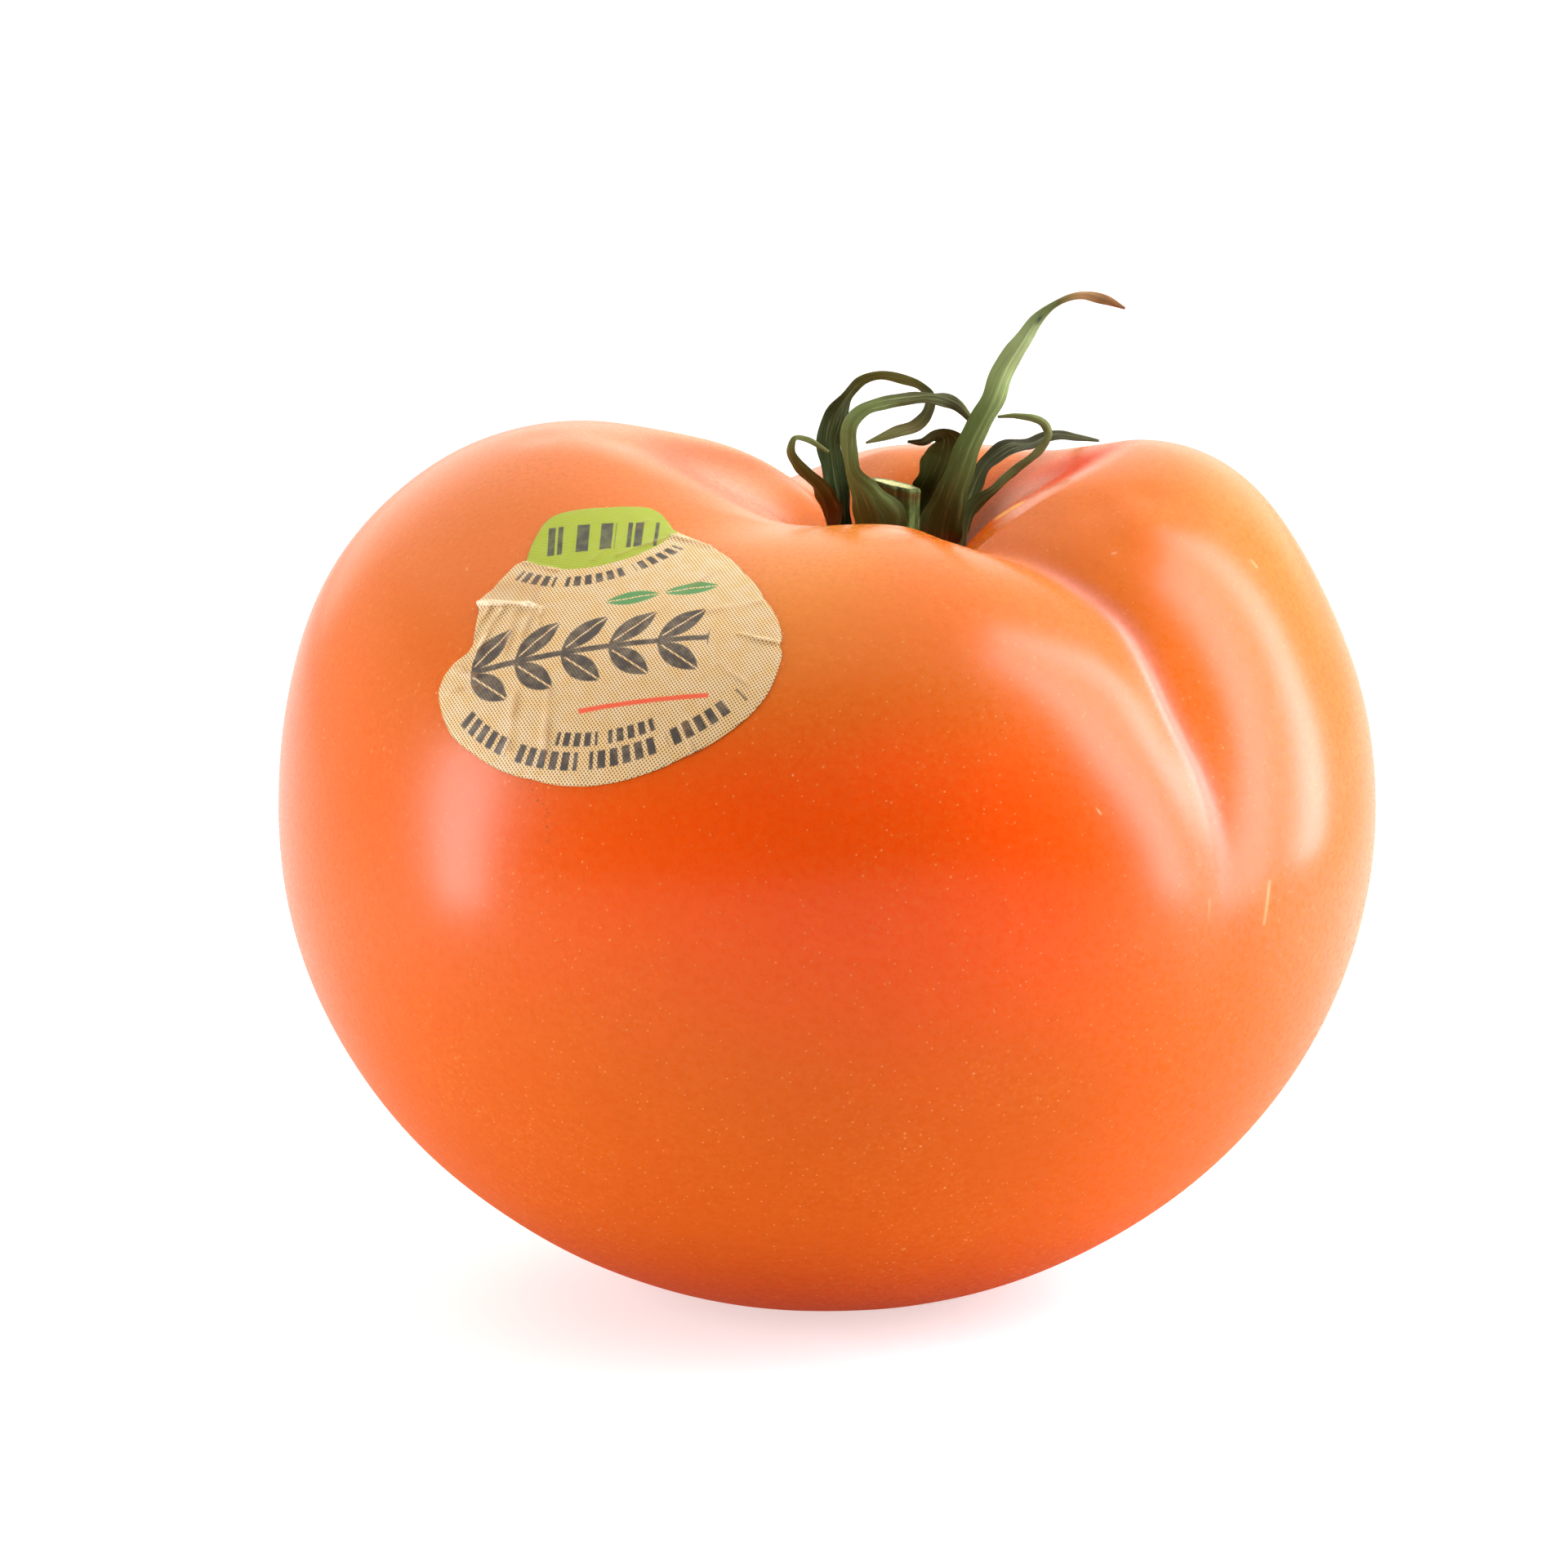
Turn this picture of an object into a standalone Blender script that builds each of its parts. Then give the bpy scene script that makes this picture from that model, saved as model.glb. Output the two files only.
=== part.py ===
"""Fresh beefsteak tomato: a lobed red fruit with its green calyx, a cut stem stub and a paper label.

Every piece is one closed solid in metres, +Z up. The origin is the middle of the small flat spot
that the fruit rests on, +X is the side of the smaller shoulder and -Y is the labelled front.
"""
import math

import bmesh
import bpy
import numpy as np
from mathutils import Matrix, Vector
from mathutils.bvhtree import BVHTree

# ---- fruit ----
FRUIT_WIDTH = 0.0893        # across the equator, along X
FRUIT_DEPTH = 0.0853        # across the equator, along Y
EQUATOR_HEIGHT = 0.0393     # resting spot to the widest ring
FOOT_FLATTENING = 0.0017    # how far the round underside is pressed flat
WIDTH_OVAL = 0.00035        # the equator swells this much along X and pinches along Y
LIP_HEIGHT = 0.0234         # rim of the stem dimple above the equator
SHOULDER_HEIGHT = 0.0252    # lowest part of the shoulder ring above the equator
LEFT_LOBE_RISE = 0.0057     # big shoulder lobe at -X
RIGHT_LOBE_RISE = 0.0049    # smaller shoulder lobe at +X
BACK_LOBE_RISE = 0.0024     # low lobe at the back right
CROWN_RADIUS = 0.0145       # stem axis to the shoulder ring at the narrow front
LEFT_LOBE_REACH = 0.0118    # the ring lies this much further out on the left lobe
RIGHT_LOBE_REACH = 0.0062   # and this much further out on the right lobe
PIT_DEPTH = 0.0080          # depth of the dimple below its rim
PIT_WIDTH = 0.0076          # radius where the dimple's wall is steepest
PIT_SHARPNESS = 3.4         # how square-shouldered the dimple is
STEM_OFFSET = 0.0055        # the crown leans this far towards +X
# furrows between the lobes: direction at the equator in degrees, turn in degrees by the time
# the furrow nears the shoulder ring, angular width in degrees, depth
FURROWS = ((-45, -15, 16, 0.0022), (-45, -15, 5, 0.0007), (-128, 0, 26, 0.0012),
           (112, 0, 14, 0.0026))
FURROW_SWING = 2.6          # above 1 the turn comes late, close to the shoulder ring
FRUIT_SEGMENTS = 72
FRUIT_RINGS = 44

# ---- calyx and stem ----
CALYX_GAP = 0.0003          # clearance between pieces that touch
SEAT_CLEARANCE = 0.0004     # calyx disc above the dimple's floor
DISC_RADIUS = 0.0040        # disc that carries the sepals
DISC_RIM = 0.0009           # height of the disc's edge
SEPAL_BASE = 0.0040         # disc radius that the sepals' points are given for
STEM_RADIUS = 0.00195
STEM_PROUD = 0.0030         # middle of the cut face above the dimple's rim
CUT_SLOPE = 12.0            # degrees, the cut falls towards +X
STEM_SEGMENTS = 24
SEPAL_THICKNESS = 0.0005
SEPAL_CUP = 0.10            # hollow of a sepal, as a share of its width
SEPAL_STEPS = 26

# ---- label ----
LABEL_DIRECTION = -120.0    # degrees around the fruit, -90 is the front
LABEL_RISE = 46.0           # degrees up from the equator
LABEL_HALF_WIDTH = 0.0137
LABEL_HALF_HEIGHT = 0.0120
TAB_DIRECTION = 112.0       # degrees, where the tab stands on the label's upper edge
TAB_SPREAD = 22.0           # degrees either side of its middle
TAB_REACH = 0.0046          # tab beyond the label's oval
# uneven edge: direction in degrees, spread in degrees, reach beyond the oval
LABEL_EDGE = ((163, 12, -0.0014), (-157, 17, 0.0011))
LABEL_THICKNESS = 0.00025
LABEL_GAP = 0.0003
LABEL_CELLS = 18

MM = 0.001


def smooth(x):
    """Ease from 0 to 1 with level ends."""
    x = np.clip(x, 0.0, 1.0)
    return x * x * (3.0 - 2.0 * x)


def bump(theta, centre, width):
    """Bell of height 1 round a direction, both in degrees, on the full circle."""
    away = (theta - math.radians(centre) + math.pi) % (2 * math.pi) - math.pi
    return np.exp(-(away / math.radians(width)) ** 2)


def shoulder(theta):
    """Height above the equator and radius of the shoulder ring in each direction."""
    height = (SHOULDER_HEIGHT + LEFT_LOBE_RISE * bump(theta, 172, 50)
              + RIGHT_LOBE_RISE * bump(theta, -4, 42) + BACK_LOBE_RISE * bump(theta, 72, 34))
    radius = (CROWN_RADIUS + LEFT_LOBE_REACH * bump(theta, 172, 58)
              + RIGHT_LOBE_REACH * bump(theta, -4, 46))
    return height, radius


def skin(theta, alpha):
    """Points of the skin. theta is the direction round the fruit in radians. alpha in degrees
    runs up one side: -90 the foot, 0 the equator, 90 the shoulder ring, 180 the dimple's floor.

    The underside and the shoulder are quarter ovals. Inside the shoulder ring the crown sinks
    in a soft bowl to the dimple's rim, and a narrow pit drops from there. Furrows are pressed
    in along the outward direction, and the crown leans to the stem's side."""
    angle = np.radians(np.clip(alpha, -90, 90))
    out, up = np.cos(angle), np.sin(angle)
    reach = FRUIT_WIDTH / 2 + WIDTH_OVAL * (np.cos(2 * theta) - 1)
    ring_height, ring_radius = shoulder(theta)
    below = alpha <= 0
    rho = np.where(below, reach * out, ring_radius + (reach - ring_radius) * out)
    z = np.where(below, (EQUATOR_HEIGHT + FOOT_FLATTENING) * up, ring_height * up)
    inside = alpha > 90
    rho = np.where(inside, ring_radius * (1 - np.clip((alpha - 90) / 90, 0, 1)), rho)
    bowl = smooth((rho - DISC_RADIUS) / (ring_radius - DISC_RADIUS))
    z = np.where(inside, LIP_HEIGHT + (ring_height - LIP_HEIGHT) * bowl, z)
    z = z - PIT_DEPTH * np.exp(-(rho / PIT_WIDTH) ** PIT_SHARPNESS) * (alpha > 0)
    climb = (np.clip(alpha, 0, 90) / 80) ** FURROW_SWING
    furrow = sum(depth * bump(theta - np.radians(turn * climb), centre, width)
                 for centre, turn, width, depth in FURROWS)
    furrow = furrow * smooth((alpha + 30) / 60) * (1 - smooth((alpha - 120) / 50))
    rho = rho - furrow * np.where(inside, 0.0, out)
    z = z - furrow * np.where(inside, 1.0, up)
    x = rho * np.cos(theta) + STEM_OFFSET * smooth((alpha - 25) / 85)
    y = rho * np.sin(theta) * FRUIT_DEPTH / FRUIT_WIDTH
    return np.stack([x, y, np.maximum(EQUATOR_HEIGHT + z, 0.0)], -1)


def pit_floor(radius):
    """Height of the dimple's floor at a radius from the stem's axis, at its highest side."""
    rho = radius * FRUIT_WIDTH / FRUIT_DEPTH
    return (EQUATOR_HEIGHT + LIP_HEIGHT
            - PIT_DEPTH * math.exp(-(rho / PIT_WIDTH) ** PIT_SHARPNESS))


def material(name, colour, roughness, metallic=0.0):
    made = bpy.data.materials.new(name)
    made.use_nodes = True
    shader = made.node_tree.nodes["Principled BSDF"]
    shader.inputs["Base Color"].default_value = (*colour, 1.0)
    shader.inputs["Roughness"].default_value = roughness
    shader.inputs["Metallic"].default_value = metallic
    made.diffuse_color = (*colour, 1.0)
    return made


def add_object(name, bm, collection, look):
    """Turn a bmesh into a named, smooth-shaded object with its material."""
    mesh = bpy.data.meshes.new(name)
    bm.to_mesh(mesh)
    bm.free()
    mesh.materials.append(look)
    mesh.shade_smooth()
    mesh.set_sharp_from_angle(angle=math.radians(50))
    made = bpy.data.objects.new(name, mesh)
    collection.objects.link(made)
    return made


def add_solidify(made, thickness, offset):
    wall = made.modifiers.new("Thickness", "SOLIDIFY")
    wall.thickness = thickness
    wall.offset = offset
    wall.use_rim = True
    return wall


def build_fruit(collection, look):
    """A sphere whose meridians are bent into the fruit's profile, dimple included."""
    bm = bmesh.new()
    bmesh.ops.create_uvsphere(bm, u_segments=FRUIT_SEGMENTS, v_segments=FRUIT_RINGS, radius=1.0)
    for vert in bm.verts:
        polar = math.acos(max(-1.0, min(1.0, vert.co.z)))
        theta = math.atan2(vert.co.y, vert.co.x)
        vert.co = Vector(skin(theta, np.float64(180.0 - 270.0 * polar / math.pi)))
    tree = BVHTree.FromBMesh(bm)
    return add_object("fruit", bm, collection, look), tree


def build_stem(collection, cutters, look):
    """Turned calyx disc and stem stub in one, with a slanting cut at the top."""
    seat = pit_floor(0.0) + SEAT_CLEARANCE
    rim = pit_floor(DISC_RADIUS) + SEAT_CLEARANCE
    top = EQUATOR_HEIGHT + LIP_HEIGHT + STEM_PROUD
    over = STEM_RADIUS                      # stock above the cut
    profile = [(0.0, top + over), (STEM_RADIUS, top + over), (STEM_RADIUS, rim + 4 * DISC_RIM),
               (STEM_RADIUS + 0.12 * DISC_RADIUS, rim + 2.2 * DISC_RIM),
               (0.85 * DISC_RADIUS, rim + 1.2 * DISC_RIM),
               (DISC_RADIUS, rim + 0.9 * DISC_RIM), (DISC_RADIUS, rim),
               (0.7 * DISC_RADIUS, pit_floor(0.7 * DISC_RADIUS) + SEAT_CLEARANCE),
               (0.35 * DISC_RADIUS, pit_floor(0.35 * DISC_RADIUS) + SEAT_CLEARANCE), (0.0, seat)]
    bm = bmesh.new()
    ring = [bm.verts.new((radius, 0.0, height)) for radius, height in profile]
    for first, second in zip(ring, ring[1:]):
        bm.edges.new((first, second))
    stem = add_object("stem", bm, collection, look)
    stem.location.x = STEM_OFFSET
    turn = stem.modifiers.new("Turned", "SCREW")
    turn.axis = "Z"
    turn.angle = math.tau
    turn.steps = turn.render_steps = STEM_SEGMENTS
    turn.use_merge_vertices = True
    turn.merge_threshold = 0.00001

    bm = bmesh.new()
    side = 8 * STEM_RADIUS
    slope = math.radians(CUT_SLOPE)
    tilt = Matrix.Rotation(slope, 4, "Y")
    bmesh.ops.create_cube(bm, size=side, matrix=tilt @ Matrix.Translation((0, 0, side / 2)))
    knife = add_object("stem_cut", bm, cutters, look)
    knife.location = (STEM_OFFSET, 0.0, top)
    knife.hide_render = True
    knife.display_type = "WIRE"
    cut = stem.modifiers.new("Cut", "BOOLEAN")
    cut.operation = "DIFFERENCE"
    cut.object = knife
    return stem


# Directions a sepal's outer side can face, named from the front.
FACING = {"F": (0, -1, 0), "B": (0, 1, 0), "L": (-1, 0, 0), "R": (1, 0, 0), "U": (0, 0, 1),
          "D": (0, 0, -1)}

# Sepals: where each leaves the disc, in degrees round the stem, its width there in mm, the
# facing there, then the points it passes: mm right of the stem's axis, mm behind it, mm above
# the dimple's rim, width in mm and the facing of its outer side.
SEPALS = {
    "sepal_tall": (-50, 2.6, "FRD", (
        (3.2, -3.9, -2.6, 3.0, "FR"), (3.8, -4.5, 0.5, 3.4, "F"), (4.4, -5.0, 2.8, 2.6, "F"),
        (5.4, -5.0, 5.8, 2.1, "F"), (6.6, -4.5, 8.4, 1.9, "F"), (7.6, -4.0, 10.3, 1.9, "F"),
        (8.7, -3.0, 12.8, 1.8, "F"), (10.0, -2.5, 14.8, 1.5, "F"), (11.0, -2.0, 16.3, 1.1, "F"),
        (12.9, -1.5, 17.9, 0.6, "FU"), (15.0, -1.0, 18.5, 0.8, "FU"), (16.8, -1.0, 18.1, 0.8, "F"),
        (18.4, -1.0, 17.4, 0.4, "F"))),
    "sepal_arch": (-108, 2.6, "FD", (
        (-1.5, -5.2, -2.4, 2.9, "F"), (-1.7, -6.2, 0.8, 3.0, "F"), (-2.5, -6.8, 3.0, 2.0, "F"),
        (-3.6, -7.0, 5.1, 1.4, "FL"), (-3.9, -7.0, 7.2, 1.2, "FL"), (-3.7, -6.9, 8.9, 1.2, "FLU"),
        (-2.7, -6.5, 9.9, 1.2, "FU"), (-1.0, -5.5, 10.4, 1.1, "FU"), (1.1, -4.5, 10.6, 1.0, "FU"),
        (3.2, -3.5, 10.5, 1.1, "FU"), (4.8, -2.5, 9.9, 0.9, "FR"), (6.2, -1.6, 8.3, 0.4, "FR"))),
    "sepal_curl": (150, 2.4, "LBD", (
        (-4.4, 2.2, -1.8, 2.4, "LB"), (-4.8, 1.0, 2.0, 2.2, "LB"), (-5.2, 0.0, 4.8, 2.1, "LB"),
        (-5.4, -0.5, 6.7, 2.0, "LB"), (-4.9, -0.5, 8.7, 1.9, "LB"), (-4.0, -0.5, 10.4, 1.6, "LUB"),
        (-2.9, -0.5, 11.5, 1.4, "UB"), (-1.4, -0.5, 12.0, 1.2, "UB"), (0.3, -0.5, 11.8, 1.2, "UB"),
        (2.0, -0.5, 11.2, 1.1, "URB"), (2.8, -0.3, 10.3, 1.1, "RB"), (2.7, -0.2, 9.0, 1.2, "RB"),
        (1.7, -0.8, 7.9, 1.3, "DB"), (0.1, -1.5, 7.4, 1.2, "DB"), (-2.4, -2.4, 6.7, 0.4, "DB"))),
    "sepal_left": (188, 2.6, "LD", (
        (-5.1, -0.9, -2.2, 2.4, "L"), (-5.4, -1.3, 1.4, 2.4, "LF"), (-6.3, -2.2, 3.2, 2.2, "LF"),
        (-7.3, -2.8, 4.3, 1.7, "LF"), (-8.1, -3.2, 5.2, 1.2, "LF"), (-8.5, -3.4, 6.3, 0.9, "LF"),
        (-8.2, -3.3, 7.2, 0.7, "UFL"), (-7.2, -2.9, 7.1, 0.7, "UF"), (-5.4, -2.6, 6.0, 0.4, "UF"))),
    "sepal_hook": (85, 2.6, "B", (
        (1.0, 4.5, -2.4, 2.7, "B"), (2.7, 3.1, 1.0, 2.9, "B"), (3.6, 1.7, 3.4, 3.0, "B"),
        (4.3, 1.0, 5.6, 2.6, "B"), (4.1, 0.5, 7.0, 1.8, "BU"), (3.2, 0.1, 7.1, 1.4, "BU"),
        (2.1, -0.3, 6.6, 1.0, "BU"), (1.0, -0.7, 6.6, 0.5, "BU"))),
    "sepal_right": (-8, 2.4, "RD", (
        (5.2, -0.8, -2.4, 2.2, "R"), (6.1, -0.5, 1.0, 1.7, "RF"), (8.2, 0.2, 2.7, 1.2, "FD"),
        (9.7, 1.0, 4.0, 1.1, "FD"), (11.0, 1.5, 4.9, 1.0, "FD"), (12.0, 1.9, 5.8, 1.0, "FR"),
        (12.5, 2.0, 6.8, 0.9, "FR"), (12.1, 2.0, 7.7, 0.8, "FU"), (11.2, 2.0, 8.2, 0.7, "FU"),
        (9.9, 2.0, 8.4, 0.6, "FU"), (8.3, 2.0, 8.3, 0.4, "FU"))),
    "sepal_back": (35, 2.4, "RBD", (
        (4.8, 3.6, -2.4, 2.3, "RB"), (6.3, 4.7, 1.5, 2.0, "RB"), (7.6, 5.4, 3.9, 1.8, "RBD"),
        (9.3, 6.3, 5.2, 1.6, "BD"), (11.3, 8.0, 5.3, 1.3, "BD"), (13.1, 9.0, 5.9, 1.0, "BD"),
        (15.0, 9.8, 5.6, 0.8, "BD"), (16.9, 10.2, 5.3, 0.4, "BD"))),
}


def facing(letters):
    total = np.sum([FACING[letter] for letter in letters], axis=0, dtype=float)
    return total / np.linalg.norm(total)


def through(knots, values, at):
    """Smooth curve through the values at the knots, read at other places (cubic pieces whose
    slopes come from the neighbouring points)."""
    slopes = np.gradient(values, knots, axis=0)
    index = np.clip(np.searchsorted(knots, at, side="right") - 1, 0, len(knots) - 2)
    span = (knots[index + 1] - knots[index])[:, None]
    t = (at - knots[index])[:, None] / span
    return ((1 + 2 * t) * (1 - t) ** 2 * values[index] + t * (1 - t) ** 2 * span * slopes[index]
            + t * t * (3 - 2 * t) * values[index + 1] + t * t * (t - 1) * span * slopes[index + 1])


def unit(rows):
    return rows / np.linalg.norm(rows, axis=-1, keepdims=True)


def sepal_frame(root_angle, root_width, root_facing, stations, at):
    """Centre line, width and facing of a sepal at shares of its length. The root sits just off
    the disc's edge, the stations are measured from the dimple's rim, and the whole sepal moves
    out with the disc's edge."""
    angle = math.radians(root_angle)
    out_x = STEM_OFFSET + (DISC_RADIUS - SEPAL_BASE) * math.cos(angle)
    out_y = (DISC_RADIUS - SEPAL_BASE) * math.sin(angle)
    start = DISC_RADIUS + CALYX_GAP
    seat = pit_floor(start + SEPAL_THICKNESS) + SEAT_CLEARANCE + SEPAL_THICKNESS
    points = [(start * math.cos(angle) + STEM_OFFSET, start * math.sin(angle), seat)]
    rim = EQUATOR_HEIGHT + LIP_HEIGHT
    points += [(x * MM + out_x, y * MM + out_y, z * MM + rim) for x, y, z, _, _ in stations]
    points = np.array(points)
    widths = np.array([[root_width * MM]] + [[station[3] * MM] for station in stations])
    faces = np.array([facing(root_facing)] + [facing(station[4]) for station in stations])
    run = np.concatenate([[0.0], np.cumsum(np.linalg.norm(np.diff(points, axis=0), axis=1))])
    where = at * run[-1]
    return (through(run, points, where), through(run, widths, where)[:, 0],
            unit(through(run, faces, where)))


def build_sepal(name, spec, tree, collection, look):
    """A strip bent along the sepal's line, hollowed a little, laid over any skin it would meet
    and thickened."""
    bm = bmesh.new()
    bmesh.ops.create_grid(bm, x_segments=SEPAL_STEPS, y_segments=2, size=0.5)
    rows = np.array([vert.co[:] for vert in bm.verts])
    along, across = rows[:, 0] + 0.5, rows[:, 1] * 2
    centre, width, face = sepal_frame(*spec, along)
    step = 0.002
    ahead = sepal_frame(*spec, np.clip(along + step, 0, 1))[0]
    behind = sepal_frame(*spec, np.clip(along - step, 0, 1))[0]
    tangent = unit(ahead - behind)
    side = unit(np.cross(tangent, face))
    outward = np.cross(side, tangent)
    hollow = SEPAL_CUP * width * across ** 2
    points = centre + side * (across * width / 2)[:, None] - outward * hollow[:, None]
    for vert, point in zip(bm.verts, points):
        spot = Vector(point)
        hit, normal, _, _ = tree.ray_cast(Vector((spot.x, spot.y, 1.0)), Vector((0, 0, -1)))
        if hit is not None:
            lift = (SEPAL_THICKNESS / 2 + CALYX_GAP) / max(normal.z, 0.3)
            spot.z = max(spot.z, hit.z + lift)
        vert.co = spot
    sepal = add_object(name, bm, collection, look)
    add_solidify(sepal, SEPAL_THICKNESS, 0.0)
    return sepal


def label_outline(angle):
    """Distance from the label's middle to its edge in each direction: an oval with a tab and
    a slightly uneven left end."""
    oval = 1 / np.hypot(np.cos(angle) / LABEL_HALF_WIDTH, np.sin(angle) / LABEL_HALF_HEIGHT)
    away = np.abs((angle - math.radians(TAB_DIRECTION) + math.pi) % math.tau - math.pi)
    edge = oval + TAB_REACH * smooth(1.5 - away / math.radians(TAB_SPREAD))
    return edge + sum(reach * bump(angle, at, spread) for at, spread, reach in LABEL_EDGE)


def on_skin(direction, rise, right, up):
    """Points of the skin straight below points of the plane that touches the skin at a
    direction and a rise, with the normal there. Each is closed in on by repeated steps."""
    theta0, alpha0 = math.radians(direction), float(rise)
    step_t, step_a = 0.001, 0.05
    base = skin(np.float64(theta0), np.float64(alpha0))
    east = skin(np.float64(theta0 + step_t), np.float64(alpha0)) - base
    north = skin(np.float64(theta0), np.float64(alpha0 + step_a)) - base
    normal = unit(np.cross(east, north))
    u = unit(np.cross((0.0, 0.0, 1.0), normal))
    v = np.cross(normal, u)
    theta = np.full(right.shape, theta0)
    alpha = np.full(right.shape, alpha0)
    for _ in range(12):
        here = skin(theta, alpha)
        miss = np.stack([right - (here - base) @ u, up - (here - base) @ v], -1)
        d_t = (skin(theta + step_t, alpha) - here) / step_t
        d_a = (skin(theta, alpha + step_a) - here) / step_a
        a, b, c, d = d_t @ u, d_a @ u, d_t @ v, d_a @ v
        det = a * d - b * c
        theta = theta + (miss[..., 0] * d - miss[..., 1] * b) / det
        alpha = alpha + (miss[..., 1] * a - miss[..., 0] * c) / det
    here = skin(theta, alpha)
    east = skin(theta + step_t, alpha) - here
    north = skin(theta, alpha + step_a) - here
    return here, unit(np.cross(east, north))


def build_label(collection, look):
    """A square grid drawn out to the label's outline, laid on the skin and thickened."""
    bm = bmesh.new()
    bmesh.ops.create_grid(bm, x_segments=LABEL_CELLS, y_segments=LABEL_CELLS, size=1.0)
    rows = np.array([vert.co[:] for vert in bm.verts])
    x, y = rows[:, 0], rows[:, 1]
    share = np.maximum(np.abs(x), np.abs(y))
    wide = np.abs(x) >= np.abs(y)
    ratio = np.where(wide, y / np.where(x == 0, 1, x), x / np.where(y == 0, 1, y))
    turn = np.where(wide, ratio * math.pi / 4, math.pi / 2 - ratio * math.pi / 4)
    angle = turn + math.pi * np.where(wide, x < 0, y < 0)
    edge = label_outline(angle) * share
    here, normal = on_skin(LABEL_DIRECTION, LABEL_RISE, edge * np.cos(angle), edge * np.sin(angle))
    for vert, point in zip(bm.verts, here + normal * LABEL_GAP):
        vert.co = Vector(point)
    label = add_object("label", bm, collection, look)
    add_solidify(label, LABEL_THICKNESS, 1.0)
    return label


def main():
    for old in list(bpy.data.objects):
        bpy.data.objects.remove(old, do_unlink=True)
    parts = bpy.data.collections.new("tomato")
    cutters = bpy.data.collections.new("cutters")
    bpy.context.scene.collection.children.link(parts)
    bpy.context.scene.collection.children.link(cutters)
    _, tree = build_fruit(parts, material("ripe_skin", (0.78, 0.13, 0.02), 0.3))
    build_stem(parts, cutters, material("stem_green", (0.10, 0.16, 0.04), 0.65))
    green = material("sepal_green", (0.12, 0.16, 0.06), 0.7)
    for name, spec in SEPALS.items():
        look = green.copy()
        look.name = name + "_green"
        build_sepal(name, spec, tree, parts, look)
    build_label(parts, material("label_paper", (0.62, 0.45, 0.22), 0.6))


main()
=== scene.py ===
"""Finished look of a fresh beefsteak tomato: skin, calyx, stem stub and paper label.

Laid out as a Blender add-on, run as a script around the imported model. Sizes are in metres,
+Z is up, -Y is the labelled front and the origin is the middle of the spot the fruit rests on.
"""
import math

import bpy
import numpy as np
from bpy.props import FloatProperty, FloatVectorProperty, IntProperty, PointerProperty
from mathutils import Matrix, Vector


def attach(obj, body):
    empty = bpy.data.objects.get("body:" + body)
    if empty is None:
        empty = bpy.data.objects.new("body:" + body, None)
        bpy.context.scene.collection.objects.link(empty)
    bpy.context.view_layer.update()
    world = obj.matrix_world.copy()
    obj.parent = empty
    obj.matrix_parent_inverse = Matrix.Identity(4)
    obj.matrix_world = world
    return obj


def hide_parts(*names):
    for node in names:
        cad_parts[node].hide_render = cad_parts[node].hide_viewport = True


bl_info = {
    "name": "Fresh tomato",
    "version": (1, 0, 0),
    "blender": (4, 5, 0),
    "location": "3D Viewport > Sidebar > Tomato",
    "description": "Builds the skin, calyx, stem stub and label of a fresh tomato",
    "category": "Object",
}

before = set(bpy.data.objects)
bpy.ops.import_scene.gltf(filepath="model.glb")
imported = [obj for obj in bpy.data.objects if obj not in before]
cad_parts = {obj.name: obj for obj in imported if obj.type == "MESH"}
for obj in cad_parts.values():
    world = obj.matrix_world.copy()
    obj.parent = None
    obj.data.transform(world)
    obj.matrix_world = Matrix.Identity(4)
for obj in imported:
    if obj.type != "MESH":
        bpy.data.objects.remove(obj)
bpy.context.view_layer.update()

# ---- the fruit's form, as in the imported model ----
FRUIT_WIDTH, FRUIT_DEPTH = 0.0893, 0.0853
EQUATOR_HEIGHT, FOOT_FLATTENING, WIDTH_OVAL = 0.0393, 0.0017, 0.00035
LIP_HEIGHT, SHOULDER_HEIGHT = 0.0234, 0.0252
LEFT_LOBE_RISE, RIGHT_LOBE_RISE, BACK_LOBE_RISE = 0.0057, 0.0049, 0.0024
CROWN_RADIUS, LEFT_LOBE_REACH, RIGHT_LOBE_REACH = 0.0145, 0.0118, 0.0062
PIT_DEPTH, PIT_WIDTH, PIT_SHARPNESS = 0.0080, 0.0076, 3.4
STEM_OFFSET, DISC_RADIUS = 0.0055, 0.0040
ROOT_TUCK = 0.0009   # from the disc's edge in to where a sepal starts
SEAT_GAP = 0.0004    # under the disc, so that it stands clear of the skin
FURROWS = ((-45, -15, 16, 0.0022), (-45, -15, 5, 0.0007), (-128, 0, 26, 0.0012),
           (112, 0, 14, 0.0026))
FURROW_SWING = 2.6
RIM = EQUATOR_HEIGHT + LIP_HEIGHT
STEM_PROUD, CUT_SLOPE = 0.0030, 12.0
LABEL_DIRECTION, LABEL_RISE = -120.0, 46.0
MM = 0.001


# ---------------------------------------------------------------- forms
def smooth(x):
    """Ease from 0 to 1 with level ends: 3x^2 - 2x^3 between 0 and 1."""
    x = np.clip(x, 0.0, 1.0)
    return x * x * (3.0 - 2.0 * x)


def bump(theta, centre, width):
    """Bell of height 1 round a direction in degrees: exp(-(turn away / width)^2)."""
    away = (theta - math.radians(centre) + math.pi) % math.tau - math.pi
    return np.exp(-(away / math.radians(width)) ** 2)


def unit(rows):
    return rows / np.linalg.norm(rows, axis=-1, keepdims=True)


def shoulder(theta):
    """Height above the equator and radius of the shoulder ring: a base value and a bell for
    each lobe."""
    height = (SHOULDER_HEIGHT + LEFT_LOBE_RISE * bump(theta, 172, 50)
              + RIGHT_LOBE_RISE * bump(theta, -4, 42) + BACK_LOBE_RISE * bump(theta, 72, 34))
    radius = (CROWN_RADIUS + LEFT_LOBE_REACH * bump(theta, 172, 58)
              + RIGHT_LOBE_REACH * bump(theta, -4, 46))
    return height, radius


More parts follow.
